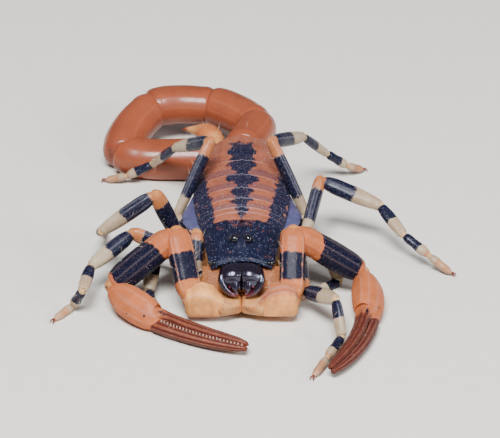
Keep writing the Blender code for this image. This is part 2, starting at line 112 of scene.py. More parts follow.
class Tree:
    """A node tree. node() takes a node's type, its settings, then the values or links of its sockets."""

    def __init__(self, group):
        self.group = group

    def node(self, kind, settings, sockets):
        made = self.group.nodes.new(kind)
        for name, value in settings.items():
            setattr(made, name, value)
        self.feed(made, sockets)
        return made

    def feed(self, made, sockets):
        """Set or link the sockets of a node."""
        for key, value in sockets.items():
            source = value.socket if isinstance(value, Value) else value
            if isinstance(source, bpy.types.NodeSocket):
                self.group.links.new(source, made.inputs[key])
            else:
                made.inputs[key].default_value = source

    def math(self, operation, *numbers):
        made = self.node("ShaderNodeMath", {"operation": operation}, dict(enumerate(numbers)))
        return Value(self, made.outputs[0])

    def field(self, name):
        """One of the numbers that a mesh carries at its points."""
        made = self.node("ShaderNodeAttribute", {"attribute_name": name}, {})
        return Value(self, made.outputs["Fac"])

    def place(self):
        return self.node("ShaderNodeTexCoord", {}, {}).outputs["Object"]

    def cloud(self, size, detail=2.0, stretch=(1.0, 1.0, 1.0)):
        """Noise from 0 to 1 in blobs about size millimetres across."""
        turned = self.node("ShaderNodeMapping", {}, {"Vector": self.place(), "Scale": stretch})
        made = self.node("ShaderNodeTexNoise", {}, {
            "Vector": turned.outputs[0], "Scale": 1 / (size * MM), "Detail": detail, "Roughness": 0.55})
        return Value(self, made.outputs["Fac"])

    def cells(self, size):
        """0 at the middle of cells about size millimetres across, rising outwards."""
        made = self.node("ShaderNodeTexVoronoi", {}, {"Vector": self.place(), "Scale": 1 / (size * MM)})
        return Value(self, made.outputs["Distance"])

    def ease(self, value, low, high, start=0.0, end=1.0):
        made = self.node("ShaderNodeMapRange", {"interpolation_type": "SMOOTHSTEP"}, {
            "Value": value, "From Min": low, "From Max": high, "To Min": start, "To Max": end})
        return Value(self, made.outputs["Result"])

    def tint(self, share, first, second):
        """A colour between two others."""
        colours = {6: first, 7: second}
        for key, colour in colours.items():
            if not isinstance(colour, bpy.types.NodeSocket):
                colours[key] = (*colour, 1.0)
        made = self.node("ShaderNodeMix", {"data_type": "RGBA"}, {0: share, **colours})
        return made.outputs[2]

    def relief(self, depth, height, strength=0.8):
        """Fine bumps about depth millimetres deep."""
        return self.node("ShaderNodeBump", {}, {
            "Strength": strength, "Distance": depth * MM, "Height": height}).outputs[0]

    def carried(self, name, kind="FLOAT"):
        """A field of the mesh, read in Geometry Nodes."""
        return self.node("GeometryNodeInputNamedAttribute", {"data_type": kind}, {"Name": name}).outputs[0]

    def chance(self, low, high, **sockets):
        """A random number between low and high at each point."""
        made = self.node("FunctionNodeRandomValue", {"data_type": "FLOAT"}, {2: low, 3: high, **sockets})
        return made.outputs[1]

    def solid(self, instances):
        """The instances as real, smooth-shaded geometry."""
        real = self.node("GeometryNodeRealizeInstances", {}, {0: instances})
        return self.node("GeometryNodeSetShadeSmooth", {}, {0: real.outputs[0]}).outputs[0]

    def dressed(self, geometry, finish):
        return self.node("GeometryNodeSetMaterial", {}, {0: geometry, "Material": finish}).outputs[0]


def new_finish(name):
    """A material, its tree and its shader."""
    material = bpy.data.materials.new(name)
    material.use_nodes = True
    return material, Tree(material.node_tree), material.node_tree.nodes["Principled BSDF"]


def shell_finish(name, *, pale, warm, dark, keel_tone_and_highlight, grain_highlight_share, rough, grain, depth, coat,
                 deep=(0.10, 0.02, 0.012), blotch=0.4, ragged=2.8, lumps=1.0, glow=0.0, edge=0.2, shine=0.22):
    """Hard shell. Fields of the mesh lay out its tones: warm over pale, then deep, and dark over all.

    The field ridge marks keels and rims, which take a paler tone that is partly their own colour and
    partly a painted highlight, and the field glint marks grains painted with a highlight. Specks are
    painted highlights on the tips of the finest grain. The sizes of blotches and grain and the depth of
    the grain are in millimetres, ragged breaks up the dark areas' edges, and edge is how strongly keels
    and rims take the pale tone and painted highlight.
    """
    material, tree, shader = new_finish(name)
    cloud = tree.cloud(blotch, 3.0)
    fine = tree.cloud(grain, 2.0)
    warmth = tree.ease(tree.field("warm") + 0.5 * (cloud - 0.5), 0.25, 0.75)
    broken = ragged * (cloud - 0.5) + 0.35 * ragged * (tree.cloud(grain * 1.6, 2.0) - 0.5)
    darkness = tree.ease(tree.field("dark") + broken, 0.34, 0.66)
    tone = tree.tint(warmth, pale, warm)
    shade = tree.ease(tree.cloud(blotch * 2.6, 2.0), 0.3, 0.75)
    tone = tree.tint(0.4 * shade, tone, tuple(0.45 * c for c in warm))
    tone = tree.tint(tree.ease(tree.field("deep") + 0.3 * (cloud - 0.5), 0.1, 0.9), tone, deep)
    tone = tree.tint(darkness, tone, dark)
    # Painted highlights on the tips of the finest grain
    tips = tree.ease(fine, 0.54, 0.70) * grain_highlight_share
    tone = tree.tint(tips, tone, keel_tone_and_highlight)
    # Keels and rims take a paler tone: partly their own colour, partly a painted highlight
    tone = tree.tint(tree.field("ridge") * edge, tone, keel_tone_and_highlight)
    # Grains marked by glint are painted with a highlight
    tone = tree.tint(tree.ease(tree.field("glint"), 0.25, 1.0) * 0.9, tone, keel_tone_and_highlight)
    roughness = tree.ease(cloud, 0.2, 0.8, rough - 0.06, rough + 0.08)
    height = fine + 0.5 * tree.cells(grain * 2.2) + lumps * tree.cloud(grain * 5, 2.0)
    tree.feed(shader, {
        "Base Color": tone, "Roughness": roughness, "Normal": tree.relief(depth, height),
        "Specular IOR Level": shine, "Specular Tint": (0.82, 0.86, 1.0, 1.0),
        "Coat Weight": coat, "Coat Roughness": 0.16,
        "Subsurface Weight": glow, "Subsurface Scale": 0.35 * MM, "Subsurface Radius": (1.0, 0.45, 0.25)})
    return material


def closed_mesh(name, shells):
    """One mesh of closed shells. Each is a grid of rings of points and the fields it carries.

    A ring at an end closes to its middle, or straight across if the shell is a plate. Nothing goes
    below the floor.
    """
    points, faces, fields = [], [], {}
    total = sum(grid.shape[0] * grid.shape[1] + 2 for grid, _ in shells)
    start = 0
    for grid, carried in shells:
        rows, columns, _ = grid.shape
        points += [grid.reshape(-1, 3), grid[:1].mean(axis=1), grid[-1:].mean(axis=1)]
        index = start + np.arange(rows * columns).reshape(rows, columns)
        beside = np.roll(index, -1, axis=1)
        first, last = start + rows * columns, start + rows * columns + 1
        faces += np.stack([index[:-1], beside[:-1], beside[1:], index[1:]], axis=-1).reshape(-1, 4).tolist()
        if "plate" in carried:
            for ring in (index[0], index[-1]):
                half = columns // 2
                upper, lower = ring[:half], ring[half:][::-1]
                faces += np.stack([upper[:-1], upper[1:], lower[1:], lower[:-1]], axis=-1).tolist()
        else:
            faces += [(first, b, a) for a, b in zip(index[0].tolist(), beside[0].tolist())]
            faces += [(last, a, b) for a, b in zip(index[-1].tolist(), beside[-1].tolist())]
        for key, values in carried.items():
            extra = (3,) if key == "lie" else ()
            values = np.broadcast_to(values, (rows, columns) + extra)
            target = fields.setdefault(key, np.zeros((total,) + extra))
            target[start:first] = values.reshape((-1,) + extra)
            target[first], target[last] = values[0].mean(axis=0), values[-1].mean(axis=0)
        start = last + 1
    mesh = bpy.data.meshes.new(name)
    points = np.concatenate(points)
    points[:, 2] = np.maximum(points[:, 2], 0.0)
    mesh.from_pydata((points * MM + BODY_ORIGIN).tolist(), [], faces)
    for key, values in fields.items():
        if values.ndim == 2:
            mesh.attributes.new(key, "FLOAT_VECTOR", "POINT").data.foreach_set("vector", values.ravel())
        else:
            mesh.attributes.new(key, "FLOAT", "POINT").data.foreach_set("value", values)
    work = bmesh.new()
    work.from_mesh(mesh)
    bmesh.ops.delete(work, geom=[vertex for vertex in work.verts if not vertex.link_faces], context="VERTS")
    bmesh.ops.recalc_face_normals(work, faces=work.faces)
    work.to_mesh(mesh)
    work.free()
    mesh.shade_smooth()
    return mesh


def put(name, data):
    """An object in the scene."""
    made = bpy.data.objects.new(name, data)
    bpy.context.scene.collection.objects.link(made)
    return made


def add_piece(mesh, finish, slot, *nodes):
    """A piece of the animal in its place, standing for CAD nodes if any are named."""
    if not mesh.materials:
        mesh.materials.append(finish)
    piece = put(mesh.name, mesh)
    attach(piece, "root")
    if nodes:
        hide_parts(*nodes)


def grow(name, base, build, sizes):
    """Run a Geometry Nodes tree on a mesh and return what it makes as a plain mesh.

    build(tree, inputs) gives the last geometry socket; sizes are the tree's named inputs.
    """
    group = bpy.data.node_groups.new(name, "GeometryNodeTree")
    group.interface.new_socket("Geometry", in_out="INPUT", socket_type="NodeSocketGeometry")
    group.interface.new_socket("Geometry", in_out="OUTPUT", socket_type="NodeSocketGeometry")
    for key, value in sizes.items():
        kind = {int: "NodeSocketInt", float: "NodeSocketFloat"}.get(type(value), "NodeSocketMaterial")
        group.interface.new_socket(key, in_out="INPUT", socket_type=kind)
    tree = Tree(group)
    inputs = tree.node("NodeGroupInput", {}, {}).outputs
    tree.node("NodeGroupOutput", {}, {"Geometry": build(tree, inputs)})
    holder = put(name, base)
    modifier = holder.modifiers.new(name, "NODES")
    modifier.node_group = group
    for item in group.interface.items_tree:
        if item.in_out == "INPUT" and item.name in sizes:
            modifier[item.identifier] = sizes[item.name]
    bpy.context.view_layer.update()
    evaluated = holder.evaluated_get(bpy.context.evaluated_depsgraph_get())
    result = bpy.data.meshes.new_from_object(evaluated)
    bpy.data.objects.remove(holder)
    result.name = name
    return result


def grains_tree(tree, inputs):
    """Small round grains scattered over the base where its field grain says, joined to it."""
    spots = tree.node("GeometryNodeDistributePointsOnFaces", {}, {
        "Mesh": inputs["Geometry"], "Seed": inputs["Seed"],
        "Density": tree.math("MULTIPLY", tree.carried("grain"), inputs["Density"])})
    index = tree.node("GeometryNodeInputIndex", {}, {}).outputs[0]
    # Each grain gets a random glint, which the shell's finish paints as a highlight
    marked = tree.node("GeometryNodeStoreNamedAttribute", {"data_type": "FLOAT", "domain": "POINT"}, {
        "Geometry": spots.outputs["Points"], "Name": "glint",
        "Value": tree.chance(0.0, 1.0, Seed=inputs["Seed"], ID=index)})
    grain = tree.node("GeometryNodeMeshIcoSphere", {}, {"Radius": inputs["Size"], "Subdivisions": 1})
    placed = tree.node("GeometryNodeInstanceOnPoints", {}, {
        "Points": marked.outputs[0], "Instance": grain.outputs[0],
        "Scale": tree.chance(0.45, 1.0, Seed=inputs["Seed"])})
    both = tree.node("GeometryNodeJoinGeometry", {}, {0: inputs["Geometry"]})
    tree.feed(both, {0: tree.solid(placed.outputs[0])})
    return tree.dressed(both.outputs[0], inputs["Finish"])


def grained(mesh, finish, *, per_mm2, size, seed):
    """The mesh with round grains of its shell standing on it."""
    return grow(mesh.name, mesh, grains_tree, {
        "Density": per_mm2 / MM ** 2, "Size": size * MM, "Seed": seed, "Finish": finish})


def spread(x, y, z):
    """Points from their three numbers, each spread over the others' rows and columns."""
    return np.stack(np.broadcast_arrays(x, y, z), axis=-1)


def plate_shell(top, bottom, paint, *, rows, columns):
    """A closed plate: its upper face from one side to the other, then its lower face back."""
    u = np.linspace(-1, 1, columns)[None, :]
    t = np.linspace(0, 1, rows)[:, None]
    grid = np.concatenate([spread(*top(u, t)), spread(*bottom(-u, t))], axis=1)
    over, under = paint(u, t), paint(-u, t)
    fields = {key: np.concatenate([np.broadcast_to(over[key], (rows, columns)),
                                   np.broadcast_to(under[key], (rows, columns))], axis=1) for key in over}
    fields["plate"] = 1.0
    return grid, fields


SHIELD_FRONT_HALF = 2.02
SHIELD_REAR_HALF = 2.65
SHIELD_CORNER_Z = 3.2
SHIELD_FRONT_Z = 3.6
SHIELD_REAR_Z = 4.02
SHIELD_EDGE_Z = 2.72
SHIELD_THICKNESS = 0.12
KNOB_Y = -2.75
EYE_RADIUS = 0.33
EYE_X = 0.45
EYE_Y = KNOB_Y - 0.12
EYE_Z = 4.13


def shield_top(u, t):
    half = lerp(SHIELD_FRONT_HALF, SHIELD_REAR_HALF, t ** 0.8)
    x = u * half
    hollow = 0.3 * np.maximum(0.0, 1 - (u / 0.8) ** 2) * (1 - t) ** 3
    y = lerp(-SHIELD_LENGTH, -0.12, t) + hollow
    crown = lerp(SHIELD_FRONT_Z, SHIELD_REAR_Z, t ** 0.75)
    z = crown - (crown - SHIELD_CORNER_Z) * abs(u) ** 3
    z = z - 0.10 * (1 - ease(0.0, 0.035, t)) - 0.08 * ease(0.97, 1.0, t)
    knob = 0.38 * np.exp(-(x / 0.75) ** 2 - ((y - KNOB_Y) / 0.85) ** 2)
    sockets = 0.07 * np.exp(-((abs(x) - EYE_X) / 0.20) ** 2 - ((y - EYE_Y + 0.08) / 0.22) ** 2)
    brows = 0.14 * bell(abs(x), 0.20 + 0.10 * (y - KNOB_Y) ** 2, 0.10) * bell(y, KNOB_Y - 0.15, 0.55)
    crest = 0.06 * bell(x, 0.0, 0.11) * bell(y, KNOB_Y - 0.75, 0.35)
    furrow = 0.17 * bell(x, 0.0, 0.16) * ease(KNOB_Y + 0.5, KNOB_Y + 1.1, y)
    sides = 0.14 * bell(abs(x), 0.75 + 0.2 * (y + 1.6) ** 2, 0.18) * bell(y, -1.0, 0.9)
    hollows = 0.16 * bell(abs(x), 1.35, 0.30) * bell(y, -1.9, 0.8)
    eye_corners = 0.10 * bell(abs(x), 1.75, 0.22) * bell(y, -4.55, 0.3)
    rim = 0.05 * bell(t, 0.035, 0.018)
    return x, y, z + knob - sockets + brows + crest - furrow + sides - hollows + eye_corners + rim


def shield_bottom(u, t):
    x, y, z = shield_top(u, t)
    edge = SHIELD_EDGE_Z + 0.75 * (1 - ease(0.0, 0.12, t))
    return x * 0.97, y, np.minimum(z - SHIELD_THICKNESS, edge)


def shield_paint(u, t):
    x, y, _ = shield_top(u, t)
    rear = ease(-1.7, -0.3, y) * (bell(abs(x), 0.55, 0.45) + 0.5 * bell(abs(x), 1.5, 0.35))
    front = 1 - ease(-4.8, -3.9, y)
    grain = 0.55 + 0.45 * front + 0.2 * bell(abs(x), 1.0, 0.3)
    smooth_knob = np.exp(-(x / 0.6) ** 2 - ((y - KNOB_Y) / 0.5) ** 2)
    return {"dark": 1.0 - 0.55 * rear, "warm": 0.8, "ridge": 0.0,
            "grain": np.clip(grain - smooth_knob, 0, 1), "bristle": 0.1}


blue_black_shell = shell_finish(
    "blue_black_shell", pale=(0.14, 0.06, 0.04), warm=(0.10, 0.034, 0.026), dark=(0.004, 0.005, 0.018),
    keel_tone_and_highlight=(0.22, 0.25, 0.44), grain_highlight_share=0.10, rough=0.40, grain=0.07, depth=0.03, lumps=2.0, coat=0.0)
bristle_beds = []
shield = plate_shell(shield_top, shield_bottom, shield_paint, rows=110, columns=121)
add_piece(grained(closed_mesh("shield", [shield]), blue_black_shell, per_mm2=42, size=0.034, seed=11),
          blue_black_shell, "shell_dark", "carapace")

# ---------------------------------------------------------------------------------------------
# The eyes: two large domes on the knob and three small beads at each front corner of the shield.
# They are clear, hard, polished lenses over black, set into the shell.


def lump(centre, radii, rows=24, columns=32, fields=None):
    """An egg-shaped closed shell with its poles at the top and bottom."""
    polar = np.linspace(0.08, math.pi - 0.08, rows)[:, None]
    turn = 2 * math.pi * np.arange(columns)[None, :] / columns
    round_shell = spread(np.sin(polar) * np.cos(turn), np.sin(polar) * np.sin(turn), -np.cos(polar))
    return round_shell * radii + centre, dict(fields or {})


eye_finish, eye_tree, eye_shader = new_finish("eye_lens")
eye_tree.feed(eye_shader, {
    "Base Color": eye_tree.tint(eye_tree.cloud(0.3), (0.002, 0.002, 0.003), (0.010, 0.010, 0.016)),
    "Roughness": 0.03, "Specular IOR Level": 0.25,
    "Coat Weight": 1.0, "Coat Roughness": 0.02, "Coat IOR": 1.4})
# The animal's left lies along x
SIGNS = {"left": 1, "right": -1}
# Place and radius of each small eye
SIDE_EYES = ((1.98, -4.78, 3.42, 0.15), (2.10, -4.55, 3.36, 0.13), (1.80, -4.86, 3.50, 0.11))
for side, sign in SIGNS.items():
    dome = lump((sign * EYE_X, EYE_Y, EYE_Z), (EYE_RADIUS,) * 3, rows=32, columns=48)
    add_piece(closed_mesh("great_eye_" + side, [dome]), eye_finish, "eye", "eye_" + side)
    beads = [lump((sign * x, y, z), (r,) * 3) for x, y, z, r in SIDE_EYES]
    add_piece(closed_mesh("side_eyes_" + side, beads), eye_finish, "eye")

# ---------------------------------------------------------------------------------------------
# The jaws: two swollen, polished, near-black claws that close together under the shield's front
# edge. Each has a body, a fixed finger next to the midline and a curved movable finger outside it,
# which turn red towards their toothed tips.

JAW_INNER_X = 0.004
JAW_ROWS, JAW_COLUMNS = 44, 56
# Fraction of the length, then forward place, outer half width, height of the middle, and thickness
JAW_BODY = (
    (0.0, -4.75, 1.15, 2.85, 1.0), (0.12, -4.95, 1.40, 2.88, 1.40), (0.35, -5.35, 1.50, 2.86, 1.62),
    (0.6, -5.75, 1.50, 2.80, 1.62), (0.8, -6.02, 1.36, 2.76, 1.42), (0.92, -6.18, 1.08, 2.74, 1.08),
    (1.0, -6.25, 0.60, 2.72, 0.5))


def unit(vectors):
    return vectors / np.linalg.norm(vectors, axis=-1, keepdims=True)


def tube_shell(path, widths, heights, across, columns, power, keels=(), envelope=1.0, spacing=0.15):
    """Rings round a path, width along across. A keel is (angle, height, spread): a raised, beaded line.

    A power of 2 gives round rings, and more gives squarer ones. The envelope fades the keels along the
    path. Returns the grid, how much of a keel each point is, and each point's angle in degrees.
    """
    path = np.array(path, float)
    tangent = unit(np.gradient(path, axis=0))
    across = np.broadcast_to(across, path.shape)
    wide = unit(across - tangent * (tangent * across).sum(axis=1, keepdims=True))
    tall = np.cross(tangent, wide)
    angle = 360 * np.arange(columns) / columns
    cosine, sine = np.cos(np.radians(angle)), np.sin(np.radians(angle))
    side = np.sign(cosine) * abs(cosine) ** (2 / power) * np.array(widths)[:, None] / 2
    up = np.sign(sine) * abs(sine) ** (2 / power) * np.array(heights)[:, None] / 2
    run = np.concatenate([[0.0], np.cumsum(np.linalg.norm(np.diff(path, axis=0), axis=1))])
    beads = 0.72 + 0.28 * np.cos(2 * math.pi * run / spacing)
    ridge = np.zeros_like(side)
    lift = np.zeros_like(side)
    for degrees, height, spread in keels:
        away = (angle - degrees + 180) % 360 - 180
        share = bell(away, 0, spread)[None, :] * np.broadcast_to(envelope, path.shape[:1])[:, None]
        ridge = np.maximum(ridge, share)
        lift = lift + height * share * beads[:, None]
    radius = np.maximum(np.hypot(side, up), 0.02)
    side, up = side * (1 + lift / radius), up * (1 + lift / radius)
    grid = path[:, None] + wide[:, None] * side[..., None] + tall[:, None] * up[..., None]
    return grid, ridge, angle


def horn(points, radii, rows=40, columns=20, fields=None):
    """A round, tapering, curved spike through a few points."""
    step = np.linspace(0, 1, len(points))
    smooth = smooth_rows(np.column_stack([step, points, radii]), rows)
    path, radius = smooth[:, 1:4], np.maximum(smooth[:, 4], 0.008)
    helper = unit(np.cross(path[-1] - path[0], (0.3, 0.2, 1.0)))
    grid, _, _ = tube_shell(path, 2 * radius, 2 * radius, helper, columns, 2.0)
    return grid, dict(fields or {})


def jaw_body(sign):
    """The swollen half-round body of one jaw, flat against its neighbour."""
    _, y, half, middle, thick = smooth_rows(JAW_BODY, JAW_ROWS).T[..., None]
    turn = 2 * math.pi * (np.arange(JAW_COLUMNS) + 0.5) / JAW_COLUMNS
    side = np.sign(np.cos(turn)) * abs(np.cos(turn)) ** 0.9 * half
    up = np.sign(np.sin(turn)) * abs(np.sin(turn)) ** 0.9 * thick / 2
    inner = JAW_INNER_X + 0.08 * bell(np.linspace(0, 1, JAW_ROWS), 1.0, 0.12)[:, None]
    x = inner + np.logaddexp(0, (side - inner) * 22) / 22
    groove = 0.07 * bell(np.hypot(x - 0.62, (middle + up) - 2.5), 0.62, 0.06)
    valley = bell(x, 0, 0.30) * ease(-0.30, 0.10, up / thick)
    return spread(sign * x, y + groove + 0.16 * valley, middle + up * (1 - 0.16 * valley)), {"red": 0.0}


jaw_finish, jaw_tree, jaw_shader = new_finish("jaw_shell")
jaw_red = jaw_tree.ease(jaw_tree.field("red") + 0.25 * (jaw_tree.cloud(0.25) - 0.5), 0.15, 1.0)
jaw_tone = jaw_tree.tint(jaw_tree.cloud(0.4), (0.002, 0.001, 0.004), (0.009, 0.002, 0.007))
jaw_tone = jaw_tree.tint(jaw_red, jaw_tone, (0.16, 0.008, 0.004))
jaw_tree.feed(jaw_shader, {
    "Base Color": jaw_tone, "Roughness": jaw_tree.ease(jaw_tree.cloud(0.5), 0.3, 0.7, 0.22, 0.30),
    "Normal": jaw_tree.relief(0.03, jaw_tree.cloud(0.22)), "Specular Tint": (0.66, 0.72, 1.0, 1.0),
    "Specular IOR Level": 0.95, "Coat Weight": 0.3, "Coat Roughness": 0.05})

# Points of the fingers' middle lines, x outwards from the midline, and their radii there
MOVABLE_FINGER = ((1.30, -5.75, 3.15), (1.28, -6.08, 2.72), (0.98, -6.26, 2.28), (0.55, -6.34, 1.99),
                  (0.17, -6.30, 1.86))
MOVABLE_RADII = (0.20, 0.24, 0.22, 0.15, 0.04)
FIXED_FINGER = ((0.42, -6.0, 2.75), (0.42, -6.25, 2.45), (0.33, -6.36, 2.15), (0.22, -6.36, 1.92))
FIXED_RADII = (0.3, 0.24, 0.15, 0.04)
# Fractions of the way down the movable finger at which its teeth stand
JAW_TEETH = (0.45, 0.62, 0.78)
for side, sign in SIGNS.items():
    jaw = [jaw_body(sign)]
    for line, radii in ((MOVABLE_FINGER, MOVABLE_RADII), (FIXED_FINGER, FIXED_RADII)):
        grid, _ = horn([(sign * x, y, z) for x, y, z in line], radii)
        tip = np.linspace(0, 1, grid.shape[0])[:, None] ** 2
        jaw.append((grid, {"red": tip}))
    for along in JAW_TEETH:
        x, y, z = (lerp(a, b, along) for a, b in zip(MOVABLE_FINGER[1], MOVABLE_FINGER[4]))
        jaw.append((lump((sign * x, y - 0.02, z + 0.12), (0.06, 0.05, 0.09))[0], {"red": 0.9}))
    add_piece(closed_mesh("jaw_" + side, jaw), jaw_finish, "jaw", "chelicera_" + side)

# ---------------------------------------------------------------------------------------------
# The back: seven arched plates, the front ones telescoped. Each ends in a thin, polished, raised rim
# that rides over the next plate. Orange-brown, with dark blue along the middle and down the flanks.

PLATE_LENGTHS = (0.5, 0.55, 0.95, 1.3, 1.75, 2.1, 4.47)
PLATE_EDGES = np.concatenate([[0.0], np.cumsum(PLATE_LENGTHS)])
TRUNK_REAR = PLATE_EDGES[-1]
# How far a plate's sides lie below its crown where its half width is BACK_HALF
PLATE_DROP = 1.05
BACK_HALF = 3.1
PLATE_OVERLAP = 0.07
# Place along the trunk, half width and height of the back
TRUNK_OUTLINE = ((0.0, 2.72, 4.06), (2.0, 3.10, 4.20), (4.6, 3.30, 4.26), (7.3, 2.90, 4.16),
                 (9.3, 2.38, 4.08), (TRUNK_REAR, 1.72, 3.90))
# Half widths of the dark patch in the middle of each plate, at its front and at its rear
MIDDLE_PATCHES = ((0.16, 0.34), (0.30, 0.50), (0.36, 0.66), (0.42, 0.74), (0.44, 1.12), (0.46, 0.96),
                  (0.86, 0.8))


def trunk_at(y):
    """Half width and height of the back at y."""
    curve = smooth_rows(TRUNK_OUTLINE, 200)
    return np.interp(y, curve[:, 0], curve[:, 1]), np.interp(y, curve[:, 0], curve[:, 2])


def back_plate(number):
    """One back plate. The last is longer, without an overlap, and carries two more pairs of keels."""
    front, rear = PLATE_EDGES[number - 1], PLATE_EDGES[number] + PLATE_OVERLAP
    if number == len(PLATE_LENGTHS):
        rear -= PLATE_OVERLAP + 0.05
    length = rear - front
    patch_front, patch_rear = MIDDLE_PATCHES[number - 1]

    def top(u, t):
        y = lerp(front, rear, t)
        half, crown = trunk_at(y)
        drop = PLATE_DROP * abs(u) ** 2.4 * half / BACK_HALF
        tilt = lerp(-0.05, 0.10, t)
        x = u * half
        rim = 0.05 * bell((1 - t) * length, 0.06, 0.05) - 0.06 * (1 - ease(0.0, 0.04, (1 - t) * length))
        keel = 0.07 * bell(x, 0.0, 0.12) * ease(0.1, 0.4, t)
        if number == len(PLATE_LENGTHS):
            tilt = tilt - 0.34 * ease(0.86, 1.0, t)
            keel = keel * bell(t, 0.25, 0.3) * 2.2
            keel = keel + 0.07 * bell(abs(x), 0.75 - 0.1 * t, 0.09) * bell(t, 0.45, 0.4)
            keel = keel + 0.07 * bell(abs(x), 1.5 - 0.25 * t, 0.09) * bell(t, 0.6, 0.35)
        cross = 0.07 * ease(0.26, 0.46, t) if number > 2 else 0.0
        return x, y - 0.12 * u * u, crown + tilt - drop + rim + keel + cross

    def bottom(u, t):
        x, y, z = top(u, t)
        return x * 0.995, y, z - (0.30 - 0.12 * u * u)

    def paint(u, t):
        x, y, _ = top(u, t)
        middle = lerp(patch_front, patch_rear, ease(0.35, 0.72, t)) * (1 - 0.35 * ease(0.85, 1.0, t))
        dark = 1 - ease(-0.34, 0.34, abs(x) - middle)
        if number == len(PLATE_LENGTHS):
            wavy = middle * (1 + 0.22 * np.sin(21 * t))
            dark = ease(0.42, 0.58, wavy - abs(x) + 0.5) * (1 - ease(0.50, 0.78, t))
            flank_from = 2.35 + 1.4 * t
        else:
            flank_from = 1.76 + 0.13 * y
        dark = np.maximum(dark, ease(-0.28, 0.28, abs(x) - flank_from))
        rim = bell((1 - t) * length, 0.05, 0.03)
        cream = 0.8 * bell(abs(x), flank_from + 0.95, 0.14) * bell(t, 0.5, 0.3) * (number in (3, 4))
        groove = (1 - ease(0.40, 0.66, t)) * (number > 2) * (number < 7)
        # The rims take the pale keel tone, a painted highlight on their polish, strongest in the middle
        return {"dark": dark - 0.7 * cream, "warm": 1 - 0.7 * cream, "deep": 0.75 * groove,
                "ridge": rim * (0.2 + 0.8 * bell(x, 0, 1.2)), "grain": np.clip(0.8 - 2 * rim, 0, 1),
                "bristle": 0.08}

    return plate_shell(top, bottom, paint, rows=int(14 + 14 * length), columns=121)


banded_shell = shell_finish(
    "banded_shell", pale=(0.42, 0.24, 0.14), warm=(0.27, 0.078, 0.038), dark=(0.005, 0.006, 0.022),
    keel_tone_and_highlight=(0.42, 0.34, 0.40), deep=(0.13, 0.045, 0.042), grain_highlight_share=0.16, rough=0.40, grain=0.07,
    depth=0.025, ragged=2.2, coat=0.0, edge=0.55)
for number in range(1, len(PLATE_LENGTHS) + 1):
    plate = back_plate(number)
    mesh = closed_mesh(f"back_plate_{number}", [plate])
    mesh = grained(mesh, banded_shell, per_mm2=75, size=0.022, seed=20 + number)
    add_piece(mesh, banded_shell, "shell_banded", f"tergite_{number}")
    bristle_beds.append(plate)

# ---------------------------------------------------------------------------------------------
# The soft sides and belly: grey-blue skin that bulges between the back plates and the legs in one
# lobe for each plate. Five flat hard plates lie under it, the last without the pair of breathing slits.

BELLY_Z = 0.6
BELLY_RISE = 0.45
BELLY_FRONT = 0.3
SIDE_BULGE = 0.95


def belly_skin():
    t = np.linspace(0, 1, 150)[:, None]
    y = lerp(BELLY_FRONT, TRUNK_REAR - 0.05, t)
    half, crown = trunk_at(y)
    half = half + SIDE_BULGE * np.exp(-((y - 2.0) / 1.9) ** 2)
    nearest = abs(y - PLATE_EDGES[None, 2:-1]).min(axis=1, keepdims=True)
    fold = bell(nearest, 0.0, 0.13) * ease(0.04, 0.12, t) * (1 - ease(0.9, 1.0, t))
    roof = crown - PLATE_DROP
    low = BELLY_Z + BELLY_RISE * t ** 2
    closing = np.sqrt(np.clip(1 - ((abs(t - 0.5) - 0.44) / 0.06).clip(0, 1) ** 2 * 0.7, 0, 1))
    turn = 2 * math.pi * np.arange(96)[None, :] / 96
    cosine, sine = np.cos(turn), np.sin(turn)
    across = np.sign(cosine) * abs(cosine) ** 0.9 * half * closing
    up = np.sign(sine) * abs(sine) ** 0.9
    middle = lerp(low, roof, 0.8)
    z = middle + np.where(up > 0, up * (roof - middle), up * (middle - low)) * closing
    across = across * (1 - 0.36 * np.clip(-up * 1.6, 0, 1) * (1 - t)) * (1 - 0.03 * fold * abs(cosine) ** 0.5)
    wrinkle = 0.02 * np.sin(14 * z + 3 * np.sin(2 * y)) * abs(cosine)
    return spread(across + np.sign(across) * wrinkle, y, z), {
        "fold": fold * abs(cosine), "under": 1 - ease(-0.7, -0.1, up)}


soft_skin, skin_tree, skin_shader = new_finish("soft_skin")
skin_cloud = skin_tree.cloud(0.5, 3.0)
skin_tone = skin_tree.tint(skin_cloud, (0.034, 0.035, 0.090), (0.085, 0.083, 0.185))
skin_tone = skin_tree.tint(skin_tree.field("under"), skin_tone, (0.50, 0.34, 0.19))
# Darker in the folds between the plates: a painted shade in the creases
skin_tone = skin_tree.tint(skin_tree.field("fold") * 0.2, skin_tone, (0.04, 0.04, 0.09))
skin_height = skin_tree.cloud(0.12, 2.0, (1.0, 1.0, 3.0)) + 0.6 * skin_tree.cloud(0.03)
skin_tree.feed(skin_shader, {
    "Base Color": skin_tone, "Roughness": skin_tree.ease(skin_cloud, 0.3, 0.7, 0.34, 0.48),
    "Normal": skin_tree.relief(0.02, skin_height, 0.5),
    "Subsurface Weight": 0.15, "Subsurface Scale": 0.3 * MM})
add_piece(closed_mesh("belly_skin", [belly_skin()]), soft_skin, "pleura", "belly")

pale_shell = shell_finish(
    "pale_shell", pale=(0.56, 0.36, 0.17), warm=(0.44, 0.165, 0.050), dark=(0.03, 0.02, 0.03),
    keel_tone_and_highlight=(0.72, 0.52, 0.33), grain_highlight_share=0.20, rough=0.46, grain=0.10, depth=0.02, coat=0.0, glow=0.14,
    shine=0.10)
# Front and rear of the plates under the belly
UNDER_PLATES = ((2.55, 4.35), (4.30, 6.10), (6.05, 7.80), (7.75, 9.40), (9.35, 11.45))


